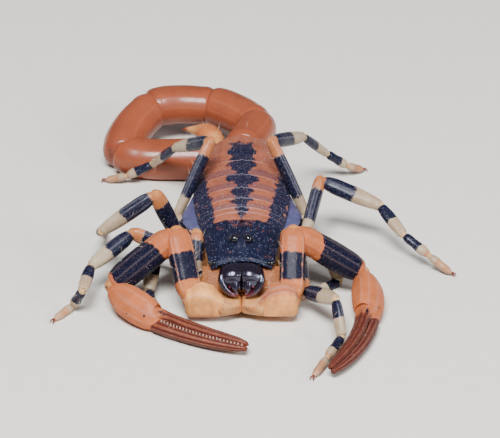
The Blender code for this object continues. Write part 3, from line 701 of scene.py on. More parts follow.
def under_plate(front, rear, slits):
    """A flat plate below the belly, with a slit at each side if it carries breathing slits."""
    def bottom(u, t):
        y = lerp(front, rear, t) + 0.10 * u * u
        half, _ = trunk_at(y)
        share = (y - BELLY_FRONT) / (TRUNK_REAR - BELLY_FRONT)
        x = u * half * (0.60 + 0.28 * share)
        z = BELLY_Z + BELLY_RISE * share ** 2 + 0.34 * abs(u) ** 3 + 0.02 - 0.05 * t
        slit = bell(x * u / np.maximum(abs(u), 0.01), 0.62 * half, 0.22) * bell(t - 0.25 * abs(u), 0.32, 0.05)
        return x, y, z + 0.10 * slit * slits - 0.03 * bell(t, 0.96, 0.03)

    def top(u, t):
        x, y, z = bottom(u, t)
        return x, y, z + 0.25

    def paint(u, t):
        return {"dark": 0.9 * slits * bell(abs(u), 0.68, 0.12) * bell(t - 0.25 * abs(u), 0.32, 0.04),
                "warm": 0.35 + 0.5 * abs(u), "ridge": 0.4 * bell(t, 0.96, 0.03), "grain": 0.0,
                "bristle": 0.06}

    return plate_shell(top, bottom, paint, rows=30, columns=61)


for number, (front, rear) in enumerate(UNDER_PLATES, 3):
    plate = under_plate(front, rear, number < 7)
    add_piece(closed_mesh(f"belly_plate_{number}", [plate]), pale_shell, "underside")
    bristle_beds.append(plate)

# ---------------------------------------------------------------------------------------------
# The leg bases: a block of pale, hard, wedge-shaped pieces that meet along the midline under the
# shield, with a small breastplate between the last ones and two lobes in front that close the mouth.

# The ways along which a shell's width can be measured
FORWARD = (0.0, 1.0, 0.0)
SIDEWAYS = (1.0, 0.0, 0.0)
LEG_HIPS = {1: (2.75, -3.6, 1.4), 2: (2.9, -1.6, 1.5), 3: (3.1, 0.3, 1.5), 4: (3.2, 2.2, 1.5)}
# How far behind each hip its leg's base meets the midline
BASE_SWEEPS = {1: 0.9, 2: 0.75, 3: 0.1, 4: -0.9}
BASE_STEPS = ((0.0, 0.35), (0.08, 0.62), (0.4, 0.86), (0.85, 0.98), (1.0, 0.80))
# Fraction of the length, forward place, half width, and heights of the underside and top
BASE_BLOCK = ((0.0, -4.95, 1.2, 0.62, 1.75), (0.1, -4.7, 1.9, 0.55, 2.3), (0.2, -4.2, 2.15, 0.5, 2.7),
              (0.5, -2.6, 2.35, 0.5, 2.95), (0.8, -0.9, 2.5, 0.55, 2.9), (1.0, 0.2, 2.3, 0.7, 2.6))


def base_block():
    _, y, half, low, high = smooth_rows(BASE_BLOCK, 60).T
    grid, _, _ = tube_shell(spread(0.0, y, (low + high) / 2), 2 * half, high - low, SIDEWAYS, 72, 3.0)
    return grid, {"warm": 0.6, "dark": 0.0}


def leg_base(sign, number):
    """The fixed first piece of a leg, from the midline out to the hip."""
    x, y, z = LEG_HIPS[number]
    share = smooth_rows(BASE_STEPS, 36)
    inner, outer = np.array([[sign * 0.32, y + BASE_SWEEPS[number], 0.95], [sign * (x + 0.05), y, z - 0.1]])
    grid, ridge, _ = tube_shell(lerp(inner, outer, share[:, :1]), share[:, 1] * 1.15, share[:, 1] * 0.9,
                                FORWARD, 36, 2.8, ((325, 0.03, 9), (215, 0.03, 9)))
    # Leg bases behind the first are painted darker near the hip, a painted shade where they meet the body
    hip_shade = bell(share[:, :1], 0.8, 0.14) * (number > 1)
    return grid, {"warm": 0.45 + 0.3 * share[:, :1], "dark": 0.55 * hip_shade, "ridge": 0.3 * ridge,
                  "bristle": 0.15}


# Mouth lobes: fraction of the length, then middle line, width and height
MOUTH_LOBE = (
    (0.0, 0.70, -4.9, 1.15, 0.9, 0.8), (0.4, 0.74, -5.6, 1.12, 1.48, 1.05),
    (0.75, 0.78, -6.30, 1.04, 1.58, 1.06), (0.9, 0.77, -6.60, 0.99, 1.54, 0.94),
    (0.97, 0.75, -6.75, 0.94, 1.42, 0.74), (1.0, 0.73, -6.80, 0.92, 1.1, 0.5))
MOUTH_RIM = ((2.2, -5.75, 1.98), (1.6, -6.12, 1.70), (1.05, -6.36, 1.46), (0.40, -6.56, 1.30))
MOUTH_RIM_RADII = (0.14, 0.14, 0.12, 0.05)
BREASTPLATE = (0, -0.75, 0.72)
BREASTPLATE_RADII = (0.42, 0.55, 0.24)


def mouth_lobe(sign):
    """One of the two lobes that close the mouth from below, pressed together."""
    lobe = smooth_rows(MOUTH_LOBE, 40)
    grid, _, _ = tube_shell(lobe[:, 1:4] * (sign, 1, 1), lobe[:, 4], lobe[:, 5], SIDEWAYS, 56, 3.4)
    seam = bell(sign * grid[..., 0], 0.0, 0.12)
    return grid, {"warm": 0.6 + 0.3 * seam, "deep": 0.06 * seam, "bristle": 0.6}


def mouth_rim(sign):
    """The folded rim above a mouth lobe."""
    return horn([(x * sign, y, z) for x, y, z in MOUTH_RIM], MOUTH_RIM_RADII, 30, 20, {"warm": 0.5})


def arm_wall(sign):
    """The upright wall of the arm's own base, which fills the corner between jaw and arm."""
    u, t = np.linspace(-1, 1, 41)[None, :], np.linspace(0, 1, 40)[:, None]
    x = sign * (1.86 + 0.72 * u)
    y = lerp(-4.5, -6.0, t ** 0.9) + 0.18 * u ** 2 - 0.10 * np.sin(math.pi * t)
    z = lerp(3.02, 1.62, t ** 1.2) - 0.06 * u ** 2
    face = spread(x, y, z)
    grid = np.concatenate([face, (face + (0, 0.35, -0.45))[:, ::-1]], axis=1)
    # Its deep tone is partly its own orange-brown and partly a painted shade in the corner
    return grid, {"warm": 1.1, "deep": 0.52, "grain": 0.0, "bristle": 0.1}


blocks = [base_block()]
for sign in SIGNS.values():
    blocks += [leg_base(sign, number) for number in LEG_HIPS]
    blocks += [mouth_lobe(sign), mouth_rim(sign), arm_wall(sign)]
blocks.append(lump(BREASTPLATE, BREASTPLATE_RADII, fields={"warm": 0.2}))
add_piece(closed_mesh("leg_base_block", blocks), pale_shell, "underside", "coxosternum")
bristle_beds += blocks[1:]

# ---------------------------------------------------------------------------------------------
# The combs: a pair of feelers on the underside behind the leg bases, each a flat jointed bar with a
# row of soft, blunt teeth along its rear edge.

COMB_INNER = (0.35, 0.75, 0.27)
COMB_OUTER = (2.7, 1.9, 0.32)
COMB_BAR = ((0.0, 0.3, 0.22), (0.12, 0.62, 0.34), (0.6, 0.56, 0.32), (1.0, 0.22, 0.2))
COMB_TEETH = 17
COMB_TOOTH_LENGTH = 0.42


def plant_tree(tree, inputs):
    """One spike at each point of the base, pointing along the field aim and as long as the field size."""
    turn = tree.node("FunctionNodeAlignRotationToVector", {"axis": "Z"}, {
        "Vector": tree.carried("aim", "FLOAT_VECTOR")})
    spike = tree.node("GeometryNodeMeshCone", {"fill_type": "TRIANGLE_FAN"}, {
        "Vertices": inputs["Sides"], "Side Segments": 3, "Radius Top": inputs["Tip"],
        "Radius Bottom": inputs["Girth"], "Depth": 1.0})
    placed = tree.node("GeometryNodeInstanceOnPoints", {}, {
        "Points": inputs["Geometry"], "Instance": spike.outputs[0], "Rotation": turn.outputs[0],
        "Scale": tree.carried("size")})
    return tree.dressed(tree.solid(placed.outputs[0]), inputs["Finish"])


def planted(name, spots, aims, length, finish, *, girth, tip, sides):
    """Spikes at given body points; girth and tip are shares of their length."""
    mesh = bpy.data.meshes.new(name)
    mesh.from_pydata((np.array(spots) * MM + BODY_ORIGIN).tolist(), [], [])
    mesh.attributes.new("aim", "FLOAT_VECTOR", "POINT").data.foreach_set("vector", np.ravel(aims))
    mesh.attributes.new("size", "FLOAT", "POINT").data.foreach_set("value", np.full(len(spots), length) * MM)
    return grow(name, mesh, plant_tree, {"Sides": sides, "Girth": girth, "Tip": tip, "Finish": finish})


for side, sign in SIGNS.items():
    ends = np.array([COMB_INNER, COMB_OUTER]) * (sign, 1, 1)
    rows = smooth_rows(COMB_BAR, 60)
    path = lerp(ends[0], ends[1], rows[:, :1])
    joints = 1 - 0.10 * bell((rows[:, 0] * 3) % 1, 0.5, 0.06)
    grid, _, _ = tube_shell(path, rows[:, 1] * joints, rows[:, 2] * joints, FORWARD, 32, 2.8)
    add_piece(closed_mesh("comb_" + side, [(grid, {"warm": 0.3})]), pale_shell, "underside", "pecten_" + side)
    share = np.linspace(0.08, 0.97, COMB_TEETH)[:, None]
    roots = lerp(ends[0], ends[1], share) + (0.0, 0.34, 0.0)
    aims = np.tile((0.1 * sign, 1.0, 0.02), (COMB_TEETH, 1))
    teeth = planted("comb_teeth_" + side, roots, aims, COMB_TOOTH_LENGTH, pale_shell,
                    girth=0.15, tip=0.11, sides=12)
    add_piece(teeth, pale_shell, "underside")

# ---------------------------------------------------------------------------------------------
# The pincer arms: a squat block beside the mouth, an angular upper arm and forearm with beaded keels,
# and a swollen hand that runs on into the fixed finger. Orange, banded with dark blue, red at the fingers.

ARM_HIP = (3.3, -6.1, 1.4)
ARM_UPPER = 4.6
ARM_FOREARM = 5.55
HAND_LENGTH = 11.1
PALM_LENGTH = 4.3
FINGER_Z = 0.72
# Least height of the hands above the floor
HAND_GAP = 0.004
# Headings and pitches in degrees: upper arm, forearm, then the hand's first and last heading and its roll
ARM_POSES = {
    "left": ((88, 43), (-2, -33), (-78, -128), 45),
    "right": ((107, 44), (200, -34), (-50, -18), 45),
}


def direction(heading, pitch=0.0):
    """A unit vector from degrees: the heading turns from x towards y, and the pitch rises from the floor."""
    h, p = np.radians(heading), np.radians(pitch)
    return spread(np.cos(h) * np.cos(p), np.sin(h) * np.cos(p), np.sin(p))


def band(t, start, end, soft=0.03):
    """1 between start and end, fading over the soft edges."""
    return ease(start - soft, start + soft, t) * (1 - ease(end - soft, end + soft, t))


def limb_shell(start, end, across, rows, keels, paint, *, count, columns, power, bristle=0.4):
    """A straight limb piece from (fraction, width, height) rows; paint(t, angle) gives its fields."""
    smooth = smooth_rows(rows, count)
    t = smooth[:, 0]
    path = lerp(np.array(start), np.array(end), t[:, None])
    shut = band(t, 0.10, 0.93, 0.07)
    grid, ridge, angle = tube_shell(path, smooth[:, 1], smooth[:, 2], across, columns, power, keels, shut)
    lie = unit(np.array(end) - np.array(start))
    fields = {"ridge": ridge, "bristle": bristle, "lie": lie, "grain": 0.3 + 0.7 * ridge}
    fields.update(paint(t[:, None], angle[None, :]))
    return grid, fields


def arm_joints(side):
    x, y, z = ARM_HIP
    hip = np.array([x * SIGNS[side], y, z])
    knee = hip + direction(*ARM_POSES[side][0]) * ARM_UPPER
    return hip, knee, knee + direction(*ARM_POSES[side][1]) * ARM_FOREARM


def hand_line(side, wrist, distance):
    """Points along the hand's curved middle line, and the direction that parts its fingers there."""
    first, last = ARM_POSES[side][2]
    roll = math.radians(ARM_POSES[side][3])
    step = np.linspace(0, HAND_LENGTH, 400)
    heading = lerp(first, last, step / HAND_LENGTH)
    track = np.cumsum(direction(heading), axis=0) * (step[1] - step[0])
    point = spread(*(np.interp(distance, step, along - along[0]) for along in track.T)) + wrist
    point[:, 2] = lerp(wrist[2], FINGER_Z, np.clip(distance / PALM_LENGTH, 0, 1) ** 0.8)
    inward = -SIGNS[side] * direction(lerp(first, last, distance / HAND_LENGTH) + 90)
    return point, inward * math.cos(roll) + np.array([0, 0, math.sin(roll)])


def hand_shell(side, wrist, rows, keels, paint, *, count, columns):
    """Part of a hand from (distance, offset, width, height) rows; the keels are mirrored with the hand."""
    smooth = smooth_rows(rows, count)
    distance = smooth[:, 0]
    point, apart = hand_line(side, wrist, distance)
    path = point + apart * smooth[:, 1:2]
    turn = -SIGNS[side]
    keels = [(turn * degrees, height, spread) for degrees, height, spread in keels]
    envelope = ease(0.5, 1.6, distance - rows[0][0]) * (1 - ease(10.3, 10.9, distance))
    grid, ridge, angle = tube_shell(path, smooth[:, 2], smooth[:, 3], apart, columns, 2.6, keels, envelope,
                                    spacing=0.16)
    grid[..., 2] = np.maximum(grid[..., 2], HAND_GAP)
    ridge = ridge * (1 - 0.65 * ease(4.0, 5.0, distance))[:, None]
    fields = {"ridge": ridge, "bristle": 0.6, "grain": 0.1, "lie": unit(np.gradient(path, axis=0))[:, None]}
    fields.update(paint(distance[:, None], (turn * angle[None, :]) % 360))
    return grid, fields


# Fraction of the length, width and height of the block, upper arm and forearm
ARM_BLOCK = ((0.0, 0.3, 0.35), (0.05, 0.6, 0.62), (0.14, 0.95, 0.92), (0.26, 1.40, 1.32), (0.38, 1.66, 1.74),
             (0.50, 1.72, 1.90), (0.86, 1.72, 1.90), (0.95, 1.60, 1.66), (1.0, 1.20, 1.10))
BLOCK_UNDERSIDE = 0.47
# Inner end of the block's middle line, and how far it runs past the hip
BLOCK_INNER = (0.62, -6.15, 1.48)
BLOCK_OVERHANG = 0.40
UPPER_ARM = ((-0.03, 0.7, 0.7), (0.03, 1.10, 1.05), (0.12, 1.45, 1.35), (0.5, 1.66, 1.60), (0.84, 1.68, 1.62),
             (0.95, 1.58, 1.52), (1.02, 1.25, 1.20), (1.06, 0.7, 0.7))
FOREARM = ((-0.01, 0.6, 0.6), (0.03, 1.05, 1.05), (0.10, 1.45, 1.42), (0.35, 1.72, 1.68), (0.68, 1.78, 1.72),
           (0.88, 1.60, 1.52), (0.96, 1.30, 1.24), (1.0, 0.7, 0.7))
# Distance from the wrist, offset towards the fixed finger, width and height
PALM = ((0.05, 0.0, 0.6, 0.6), (0.3, 0.0, 1.10, 1.02), (0.8, 0.0, 1.62, 1.42), (1.5, 0.0, 2.06, 1.68),
        (2.5, 0.02, 2.22, 1.78), (3.3, 0.03, 2.12, 1.68), (3.85, 0.04, 1.90, 1.46), (4.15, 0.10, 1.66, 1.30),
        (4.45, 0.30, 1.12, 1.18), (5.0, 0.37, 0.84, 1.04), (6.6, 0.34, 0.77, 0.97), (8.4, 0.30, 0.67, 0.87),
        (9.8, 0.25, 0.55, 0.70), (10.6, 0.19, 0.42, 0.52), (10.95, 0.13, 0.26, 0.32),
        (11.05, 0.10, 0.08, 0.12))
FINGER = ((4.0, -0.40, 0.40, 0.5), (4.3, -0.39, 0.78, 0.95), (4.9, -0.38, 0.84, 1.08),
          (6.2, -0.35, 0.79, 1.02), (8.0, -0.31, 0.71, 0.91), (9.6, -0.25, 0.57, 0.74),
          (10.6, -0.18, 0.41, 0.50), (10.95, -0.13, 0.25, 0.30), (11.03, -0.10, 0.08, 0.11))
# Angle round the limb, height and spread of each beaded keel
BLOCK_KEELS = ((28, 0.05, 6), (60, 0.07, 7), (92, 0.04, 5), (120, 0.07, 7), (215, 0.04, 6))
CORNER_KEELS = ((45, 0.07, 4), (135, 0.07, 4), (225, 0.06, 4), (315, 0.06, 4), (0, 0.03, 4), (180, 0.03, 4))
FOREARM_KEELS = ((90, 0.04, 4), (48, 0.06, 4), (132, 0.06, 4), (10, 0.05, 4), (170, 0.05, 4), (225, 0.05, 4),
                 (315, 0.05, 4))
HAND_KEELS = ((20, 0.035, 4), (58, 0.04, 4), (92, 0.045, 4), (126, 0.04, 4), (160, 0.035, 4), (235, 0.03, 4),
              (300, 0.03, 4))
FINGER_KEELS = ((50, 0.03, 6), (90, 0.035, 6), (130, 0.03, 6), (180, 0.03, 6), (250, 0.03, 6))
# Angles of the furrows between the finger keels, which are painted darker as a painted shade
FINGER_GROOVES = (25, 70, 110, 155, 205)
# First and last distance of the teeth from the wrist, and the step between them
TOOTH_SPAN = (4.9, 10.7)
TOOTH_STEP = 0.24
TOOTH_LENGTH = 0.15
# How far up the movable finger the row of teeth stands, as a share of its height
TOOTH_RISE = {"left": 0.1, "right": 0.40}
# The left pincer's fingers are painted darker, a painted shade for the side that lies in less light
FINGER_SIDE_SHADE = {"left": 1.16, "right": 1.0}


def paint_upper(t, angle):
    window = band(t, 0.27, 0.68, 0.045) * (0.62 + 0.38 * (abs(np.sin(np.radians(2 * angle))) < 0.95))
    return {"dark": window, "warm": 0.60 + 0.4 * ease(0.1, 0.6, t), "deep": 0.08}


def paint_forearm(t, angle):
    slant = 0.34 + 0.06 * np.cos(np.radians(angle - 200))
    return {"dark": ease(slant - 0.05, slant + 0.05, t) * (1 - ease(0.87, 0.95, t)),
            "warm": 1.0 - 0.6 * ease(0.93, 0.99, t), "deep": 0.12 * (1 - t)}


def finger_depth(angle):
    """How deep red the fingers are round their girth, with the furrows between the keels painted darker as a
    painted shade.
    """
    return 0.62 + 0.52 * sum(bell(angle, degrees, 7) for degrees in FINGER_GROOVES)


def paint_hand(d, angle):
    spot = bell(d, 3.7, 0.10) * bell(angle, 100, 6)
    small_spot = 0.8 * bell(d, 2.6, 0.08) * bell(angle, 125, 5)
    streak = 0.75 * bell(d, 4.75, 0.35) * bell(angle, 75, 28)
    edge = bell(d, 4.15, 0.16) * bell((angle + 180) % 360 - 180, -160, 60)
    return {"dark": np.maximum(np.maximum(spot, small_spot), streak), "warm": 0.92 - 0.5 * edge,
            "deep": finger_depth(angle) * ease(4.0, 5.4, d), "grain": 0.15}


def paint_finger(d, angle):
    return {"dark": 0.35 * bell(d, 4.3, 0.2), "deep": finger_depth(angle), "warm": 0.9}


arm_shell = shell_finish(
    "arm_shell", pale=(0.84, 0.38, 0.12), warm=(0.42, 0.115, 0.040), dark=(0.003, 0.004, 0.016),
    deep=(0.060, 0.012, 0.009), keel_tone_and_highlight=(0.50, 0.35, 0.32), grain_highlight_share=0.10, rough=0.42, grain=0.08,
    depth=0.022, ragged=1.3, coat=0.05, glow=0.06, edge=0.26, shine=0.07)
tooth_shell = shell_finish(
    "tooth_shell", pale=(0.58, 0.42, 0.36), warm=(0.42, 0.20, 0.14), dark=(0.10, 0.03, 0.02),
    keel_tone_and_highlight=(0.80, 0.70, 0.62), grain_highlight_share=0.3, rough=0.25, grain=0.05, depth=0.004, coat=0.2)


def arm_block(side, hip):
    """The squat block beside the mouth, which carries the arm at its outer end."""
    inner = np.array(BLOCK_INNER) * (SIGNS[side], 1, 1)
    outer = hip + (BLOCK_OVERHANG * SIGNS[side], 0, 0)
    smooth = smooth_rows(ARM_BLOCK, 70)
    path = lerp(inner, outer, smooth[:, :1])
    grid, ridge, angle = tube_shell(path, smooth[:, 1], smooth[:, 2], FORWARD, 72, 4.2, BLOCK_KEELS)
    lowest = BLOCK_UNDERSIDE + 0.25 * (1 - ease(0.0, 0.3, smooth[:, 0])) + 0.2 * ease(0.9, 1.0, smooth[:, 0])
    grid[..., 2] += (lowest + smooth[:, 2] / 2 - path[:, 2])[:, None]
    return grid, {"lie": (0.0, 0.0, -1.0), "ridge": ridge, "warm": 0.35 + 0.5 * bell(angle, 90, 50),
                  "dark": 0.0, "grain": 1.8, "bristle": 1.0}


def teeth_row(side, wrist):
    """Roots and aims of the teeth along the edge of the movable finger that faces the fixed one."""
    smooth = smooth_rows(FINGER, 300)
    distance = np.arange(*TOOTH_SPAN, TOOTH_STEP)
    offset, width, height = (np.interp(distance, smooth[:, 0], smooth[:, i]) for i in (1, 2, 3))
    point, apart = hand_line(side, wrist, distance)
    above = np.cross(unit(np.gradient(point, axis=0)), apart)
    above = above * np.sign(above[:, 2:])
    root = point + apart * (offset + 0.42 * width)[:, None] + above * (TOOTH_RISE[side] * height)[:, None]
    return root, unit(above + 0.6 * apart)


for side in SIGNS:
    hip, knee, wrist = arm_joints(side)
    upper_pose, fore_pose = ARM_POSES[side][:2]
    block = arm_block(side, hip)
    upper = limb_shell(hip, knee, direction(upper_pose[0] + 90), UPPER_ARM, CORNER_KEELS, paint_upper,
                       count=100, columns=72, power=2.9)
    fore = limb_shell(knee, wrist, direction(fore_pose[0] + 90), FOREARM, FOREARM_KEELS, paint_forearm,
                      count=120, columns=80, power=2.5, bristle=0.16)
    # The keels of forearm and hand take less of the pale keel tone and painted highlight than the others
    fore[1].update(ridge=0.3 * fore[1]["ridge"], grain=0.3)
    hand = hand_shell(side, wrist, PALM, HAND_KEELS, paint_hand, count=230, columns=72)
    hand[1]["ridge"] = 0.5 * hand[1]["ridge"]
    finger = hand_shell(side, wrist, FINGER, FINGER_KEELS, paint_finger, count=150, columns=48)
    # The left pincer's hand and finger get the painted side shade
    for _, fields in (hand, finger):
        fields["deep"] = FINGER_SIDE_SHADE[side] * fields["deep"]
    for seed, (part, shell, slot, node) in enumerate((
            ("block", block, "palp", "trochanter"), ("upper", upper, "palp", "femur"),
            ("forearm", fore, "palp", "patella"), ("hand", hand, "palp", "hand"),
            ("finger", finger, "finger", "finger"))):
        mesh = closed_mesh(f"arm_{side}_{part}", [shell])
        mesh = grained(mesh, arm_shell, per_mm2=16, size=0.030, seed=50 + seed)
        add_piece(mesh, arm_shell, slot, f"palp_{side}_{node}")
        bristle_beds.append(shell)
    roots, aims = teeth_row(side, wrist)
    teeth = planted(f"arm_{side}_teeth", roots, aims, TOOTH_LENGTH, tooth_shell,
                    girth=0.42, tip=0.10, sides=8)
    add_piece(teeth, tooth_shell, "finger")

# ---------------------------------------------------------------------------------------------
# The eight walking legs: a short hip piece, a deep thigh, a knee piece, shin, heel piece and foot, which
# ends in two small hooked claws. Cream with dark blue bands, and orange at the knees and feet.

# Where each thigh begins, beyond the hip piece
LEG_BENDS = {1: (3.05, -3.25, 1.65), 2: (4.0, -1.25, 1.9), 3: (4.2, 0.7, 1.95), 4: (4.5, 3.45, 1.95)}
# Lengths of thigh, knee piece, shin, heel piece and foot
LEG_LENGTHS = {
    1: (2.7, 3.1, 2.4, 1.85, 1.75),
    2: (3.6, 3.9, 2.6, 2.0, 1.9),
    3: (4.7, 4.45, 2.8, 2.3, 1.9),
    4: (5.78, 4.8, 3.4, 2.1, 1.55),
}
LEG_STOUTNESS = {1: 1.12, 2: 0.88, 3: 0.94, 4: 0.80}
# Headings and pitches of thigh, knee piece, shin and heel piece, then the heading of the foot
LEG_POSES = {
    ("left", 1): ((91, 43), (8, -22), (-60, -57), (-140, -2), -150),
    ("right", 1): ((89, 43), (-160, -19), (-106, -50), (-77, -6), -55),
    ("left", 2): ((-87, -10), (-58, 20), (-80, -39), (-120, -13), -118),
    ("right", 2): ((171, 23), (-136, -15), (-100, -7), (131, -57), -127),
    ("left", 3): ((74, 29), (-18, -16), (-54, -22), (-37, -22), -29),
    ("right", 3): ((-139, 65), (-172, -35), (92, -31), (90, -31), 92),
    ("left", 4): ((133, 51), (60, -22), (46, -44), (21, -40), 33),
    ("right", 4): ((50, 50), (127, -30), (134, -44), (180, -28), 172),
}
TOE_Z = 0.20
# How stout the heel piece and foot of every leg are
HEEL_STOUTNESS = 0.96
FOOT_STOUTNESS = 0.98
# Fraction of the length, width and height of each piece of a leg
HIP_PIECE = ((0.0, 0.6, 0.65), (0.3, 0.82, 0.88), (0.8, 0.95, 1.0), (1.1, 0.85, 0.9), (1.2, 0.4, 0.45))
THIGH = ((-0.02, 0.5, 0.55), (0.03, 0.74, 0.8), (0.12, 0.80, 0.9), (0.4, 0.86, 1.14), (0.8, 0.88, 1.18),
         (0.93, 0.84, 1.06), (1.01, 0.70, 0.84), (1.05, 0.35, 0.4))
KNEE = ((-0.01, 0.35, 0.4), (0.04, 0.60, 0.72), (0.13, 0.82, 1.0), (0.45, 0.90, 1.22), (0.78, 0.82, 1.08),
        (0.93, 0.70, 0.86), (1.0, 0.56, 0.66), (1.02, 0.3, 0.35))
SHIN = ((0.0, 0.34, 0.4), (0.06, 0.54, 0.64), (0.22, 0.66, 0.84), (0.5, 0.70, 0.92), (0.85, 0.62, 0.78),
        (0.97, 0.52, 0.62), (1.0, 0.28, 0.34))
HEEL = ((0.0, 0.28, 0.32), (0.07, 0.46, 0.52), (0.4, 0.55, 0.65), (0.9, 0.48, 0.54), (1.0, 0.26, 0.28))
FOOT = ((0.0, 0.24, 0.26), (0.08, 0.40, 0.44), (0.5, 0.48, 0.54), (0.88, 0.40, 0.42), (1.0, 0.2, 0.22))
THIGH_KEELS = ((90, 0.05, 8), (62, 0.03, 6), (118, 0.03, 6), (270, 0.05, 8))
KNEE_KEELS = ((90, 0.03, 8), (55, 0.03, 6), (125, 0.03, 6), (270, 0.04, 8), (0, 0.02, 6), (180, 0.02, 6))
SHIN_KEELS = ((90, 0.02, 10), (270, 0.02, 10))


def leg_joints(side, number):
    """The hip, the bend after it, the knee and the joints beyond it, ending at the toe."""
    *poses, foot_heading = LEG_POSES[side, number]
    *lengths, foot_length = LEG_LENGTHS[number]
    joints = [np.array(point) * (SIGNS[side], 1, 1) for point in (LEG_HIPS[number], LEG_BENDS[number])]
    for (heading, pitch), length in zip(poses, lengths):
        joints.append(joints[-1] + direction(heading, pitch) * length)
    foot_pitch = -math.degrees(math.asin((joints[-1][2] - TOE_Z) / foot_length))
    joints.append(joints[-1] + direction(foot_heading, foot_pitch) * foot_length)
    return joints


def paint_leg(dark_from, dark_to, warm_from, warm_to, warm=0.8):
    """Fields of a leg piece: where it is dark, and where orange, as fractions of its length."""
    def paint(t, _):
        return {"dark": band(t, dark_from, dark_to, 0.07),
                "warm": 0.12 + (warm - 0.12) * band(t, warm_from, warm_to, 0.06)}
    return paint


leg_shell = shell_finish(
    "leg_shell", pale=(0.37, 0.29, 0.19), warm=(0.42, 0.14, 0.046), dark=(0.004, 0.005, 0.019),
    deep=(0.14, 0.025, 0.015), keel_tone_and_highlight=(0.52, 0.50, 0.58), grain_highlight_share=0.14, rough=0.28, grain=0.08,
    depth=0.016, ragged=1.4, coat=0.08, glow=0.08, edge=0.12, shine=0.18)
# A colour that a piece doesn't have lies off its end
NOWHERE = (-1, -0.5)
HIP_PAINT = paint_leg(0.3, 0.7, *NOWHERE)
THIGH_PAINT = paint_leg(0.28, 0.80, 0.80, 1.10)
KNEE_PAINT = paint_leg(0.08, 0.58, -0.1, 0.10)
SHIN_PAINT = paint_leg(0.05, 0.52, *NOWHERE)
HEEL_PAINT = paint_leg(0.05, 0.62, 0.85, 1.1, 0.5)
FOOT_PAINT = paint_leg(*NOWHERE, 0.3, 1.2, 0.5)
CLAW_SPLAY = 24
# Along and up from the toe, and radius, of each point of a claw
CLAW = ((-0.12, 0.02, 0.075), (0.10, 0.05, 0.065), (0.26, 0.0, 0.045), (0.34, -0.17, 0.012))
# Centre, radius and warmth of each bead of joint skin
knuckles = []
for (side, number), poses in LEG_POSES.items():
    hip, bend, knee, wrist, ankle, heel, toe = leg_joints(side, number)
    stout = LEG_STOUTNESS[number]
    # The pieces beyond the knee are thinnest square to the plane in which the knee bends
    thin = unit(np.cross(direction(*poses[0]), direction(*poses[1])))

    def leg_piece(start, end, rows, keels, paint, count=60, columns=40, across=thin, stout=stout):
        sized = [(t, w * stout, h * stout) for t, w, h in rows]
        return limb_shell(start, end, across, sized, keels, paint, count=count, columns=columns, power=2.3)

    level = unit(np.cross((0.0, 0.0, 1.0), bend - hip))
    hip_piece = leg_piece(hip, bend, HIP_PIECE, (), HIP_PAINT, 30, across=level)
    thigh = leg_piece(bend, knee, THIGH, THIGH_KEELS, THIGH_PAINT, 90, 48, direction(poses[0][0] + 90))
    knee_piece = leg_piece(knee, wrist, KNEE, KNEE_KEELS, KNEE_PAINT, 80, 48)
    shin = leg_piece(wrist, ankle, SHIN, SHIN_KEELS, SHIN_PAINT)
    heel_piece = leg_piece(ankle, heel, HEEL, (), HEEL_PAINT, 44, stout=HEEL_STOUTNESS)
    foot = leg_piece(heel, toe, FOOT, (), FOOT_PAINT, 44, stout=FOOT_STOUTNESS)
    claws = []
    for splay in (-CLAW_SPLAY, CLAW_SPLAY):
        line = [toe + direction(poses[4] + splay) * along + (0, 0, up) for along, up, _ in CLAW]
        claws.append(horn(line, [radius for *_, radius in CLAW], 16, 10, {"deep": 1.0, "warm": 0.8}))
    name = f"leg_{side}_{number}_"
    for part, shells, node in (("thigh", [hip_piece, thigh], "femur"),
                               ("knee_piece", [knee_piece], "patella"),
                               ("shin_and_foot", [shin, heel_piece, foot, *claws], "foot")):
        add_piece(closed_mesh(name + part + "_shell", shells), leg_shell, "leg", name + node)
    bristle_beds += [thigh, knee_piece, shin, heel_piece, foot]
    knuckles += [(bend, 0.38 * stout, 0.3), (knee, 0.38 * stout, 0.7), (wrist, 0.31 * stout, 0.15),
                 (ankle, 0.24, 0.15), (heel, 0.20, 0.4)]

# ---------------------------------------------------------------------------------------------
# Joint skin: the soft skin that shows between the hard pieces of the limbs where they bend. It is one
# round bead in each joint, sunk into the ends of the pieces on both sides.

# Radius and warmth of the beads at an arm's hip, elbow and wrist
ARM_BEADS = ((0.60, 0.7), (0.55, 0.95), (0.46, 0.6))
for side in SIGNS:
    knuckles += [(centre, *bead) for centre, bead in zip(arm_joints(side), ARM_BEADS)]
joint_beads = [lump(centre, (radius,) * 3, rows=14, columns=20, fields={"warm": warm, "ridge": 0.0})
               for centre, radius, warm in knuckles]
add_piece(closed_mesh("joint_skin", joint_beads), pale_shell, "underside")

# ---------------------------------------------------------------------------------------------
# The tail: five smooth, polished, brick-red barrels with beaded keels, laid in a loop on the floor, and
# the sting: a paler bulb that narrows to a dark, curved point, with a small tooth below it.

TAIL_BASE = (0.05, 11.9, 2.5)
# Length, heading, pitch and radius of each barrel
TAIL_BARRELS = ((3.8, 76, -3, 1.46), (4.1, 138, 2, 1.48), (4.3, 185, 1, 1.44), (5.1, 245, -13.9, 1.46),
                (6.2, -8, 0, 1.50))
# Fraction of the length, and share of the radius
BARREL = ((-0.04, 0.50), (-0.01, 0.78), (0.05, 0.91), (0.25, 0.97), (0.60, 1.0), (0.90, 1.0), (0.98, 0.97),
          (1.04, 0.86), (1.08, 0.60), (1.10, 0.25))
BARREL_KEELS = ((52, 0.02, 4), (128, 0.02, 4), (18, 0.015, 4), (162, 0.015, 4), (325, 0.02, 4),
                (215, 0.02, 4), (292, 0.02, 4), (248, 0.02, 4))
STING_LENGTH = 4.7
STING_HEADINGS = (52, 196)
STING_PITCH = 20
STING_ROWS = 110
STING_TOOTH_ROW = 88
# Fraction of the length and width
STING = ((0.0, 0.62), (0.05, 0.80), (0.14, 1.06), (0.30, 1.48), (0.50, 1.72), (0.62, 1.54), (0.71, 1.16),
         (0.78, 0.78), (0.85, 0.50), (0.93, 0.30), (1.0, 0.05))

